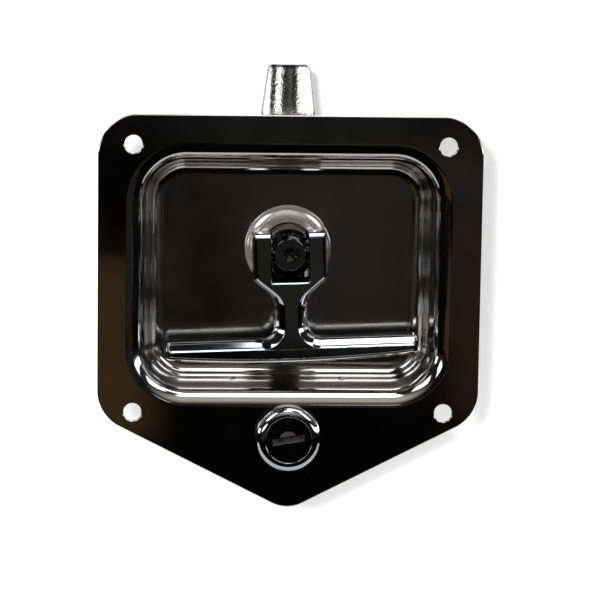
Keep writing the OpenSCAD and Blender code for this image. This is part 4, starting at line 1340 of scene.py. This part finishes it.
class StageOperator(Operator):
    """Set the camera, the white room, the wall, the floor and the reflection cards"""
    bl_idname = "latch.stage"
    bl_label = "Stage"

    def execute(self, context):
        t = studio()
        context.scene.view_settings.view_transform = "Standard"
        white_room(t.ambient)
        add_camera(t)
        add_key(t)
        wall_y = solid_box[1][1] + t.wall_gap
        floor_z = solid_box[0][2] - t.floor_gap
        wide, tall, deep = 1.5, 1.5, 2
        stage_plane("wall", [(-wide, wall_y, floor_z), (wide, wall_y, floor_z), (wide, wall_y, tall),
                             (-wide, wall_y, tall)], wall_paint(t.wall_glow))
        stage_plane("floor", level((-deep, deep), (-deep, deep), floor_z), floor_paint())
        self.cards(t)
        return {"FINISHED"}

    def cards(self, t):
        """Cards in metres and degrees: a dark room and table, warm patches on the table, and softboxes."""
        white, black = (1, 1, 1), (0.0015, 0.0015, 0.0015)
        front = ((-150, 150), (-65, 68))
        card("room_card", *front, 1.5, room_dark(*front))
        flat_card("ceiling_card", level((-1.2, 1.2), (-0.6, 0.7), 1.2), glow("card_black", (0.012, 0.012, 0.013), 1))
        table, table_z, olive_z, warm_z = glow("table_black", black, 1), -0.11, -0.109, -0.108
        flat_card("table_card", level((-1, 1), (-1.6, -0.045), table_z), table)
        for side in (-1, 1):
            flat_card("table_side", level((side * 0.2, side * 1.4), (-1.6, 0.5), table_z), table)
        flat_card("table_olive", level((-0.02, 0.6), (-1.6, -0.44), olive_z),
                  glow("table_olive", (1, 1, 0.88), 0.023, 0.1, black))
        flat_card("warm_left", level((-0.3, -0.03), (-0.83, -0.26), warm_z),
                  glow("warm_left", (1, 0.6, 0.26), 0.05, 0.08, black))
        flat_card("warm_right", [(0.15, -1.15, warm_z), (0.45, -1.15, warm_z), (0.3, -0.28, warm_z),
                                 (0.072, -0.28, warm_z)], glow("warm_right", (1, 0.58, 0.42), 0.026, 0.1, black))
        soft = glow("softbox_front", white, t.softbox, 0.12)
        strip = glow("strip", white, t.softbox, 0.1)
        for name, azimuths, elevations, distance, material in (
                ("softbox_front", (-18, 22), (53, 71), 1.0, soft),
                ("haze_front", (-40, 44), (6, 72), 1.2, glow("haze_front", (1, 0.97, 0.92), 0.55, 0.45)),
                ("glow_right", (3.2, 10), (3, 13), 1.4, glow("glow_right", white, 1.2, 0.2)),
                ("softbox_left", (-64, -36), (24, 56), 1.0, soft),
                ("softbox_right", (42, 70), (24, 56), 1.0, soft),
                ("strip_right", (33, 104), (0, 10), 1.1, strip),
                ("strip_left", (-49, -26), (0, 10), 1.1, strip),
                ("strip_far_left", (-122, -71), (0, 10), 1.1, strip)):
            card(name, azimuths, elevations, distance, material)
        flat_card("softbox_over", level((-0.035, 0.7), (-0.3, 0.05), 1), glow("softbox_over", white, t.softbox, 0.04))


class LatchPanel(Panel):
    """Buttons for the pieces of the latch and its stage"""
    bl_idname = "VIEW3D_PT_latch"
    bl_label = "Recessed T-handle latch"
    bl_space_type = "VIEW_3D"
    bl_region_type = "UI"
    bl_category = "Latch"

    def draw(self, context):
        for operator in OPERATORS:
            self.layout.operator(operator.bl_idname)


GROUPS = (LatchSizes, LatchFinishes, LatchStudio)
OPERATORS = (PanOperator, HandleOperator, BushingOperator, CrankOperator, BoltOperator, SpringOperator,
             LockOperator, StageOperator)


def register():
    for cls in (*GROUPS, *OPERATORS, LatchPanel):
        bpy.utils.register_class(cls)
    bpy.types.Scene.latch_sizes = PointerProperty(type=LatchSizes)
    bpy.types.Scene.latch_finishes = PointerProperty(type=LatchFinishes)
    bpy.types.Scene.latch_studio = PointerProperty(type=LatchStudio)


def unregister():
    del bpy.types.Scene.latch_studio
    del bpy.types.Scene.latch_finishes
    del bpy.types.Scene.latch_sizes
    for cls in (LatchPanel, *reversed(OPERATORS), *reversed(GROUPS)):
        bpy.utils.unregister_class(cls)


def main():
    register()
    for operator in (bpy.ops.latch.pan, bpy.ops.latch.handle, bpy.ops.latch.bushing, bpy.ops.latch.crank,
                     bpy.ops.latch.bolt, bpy.ops.latch.spring, bpy.ops.latch.lock, bpy.ops.latch.stage):
        operator()


if __name__ == "__main__":
    main()
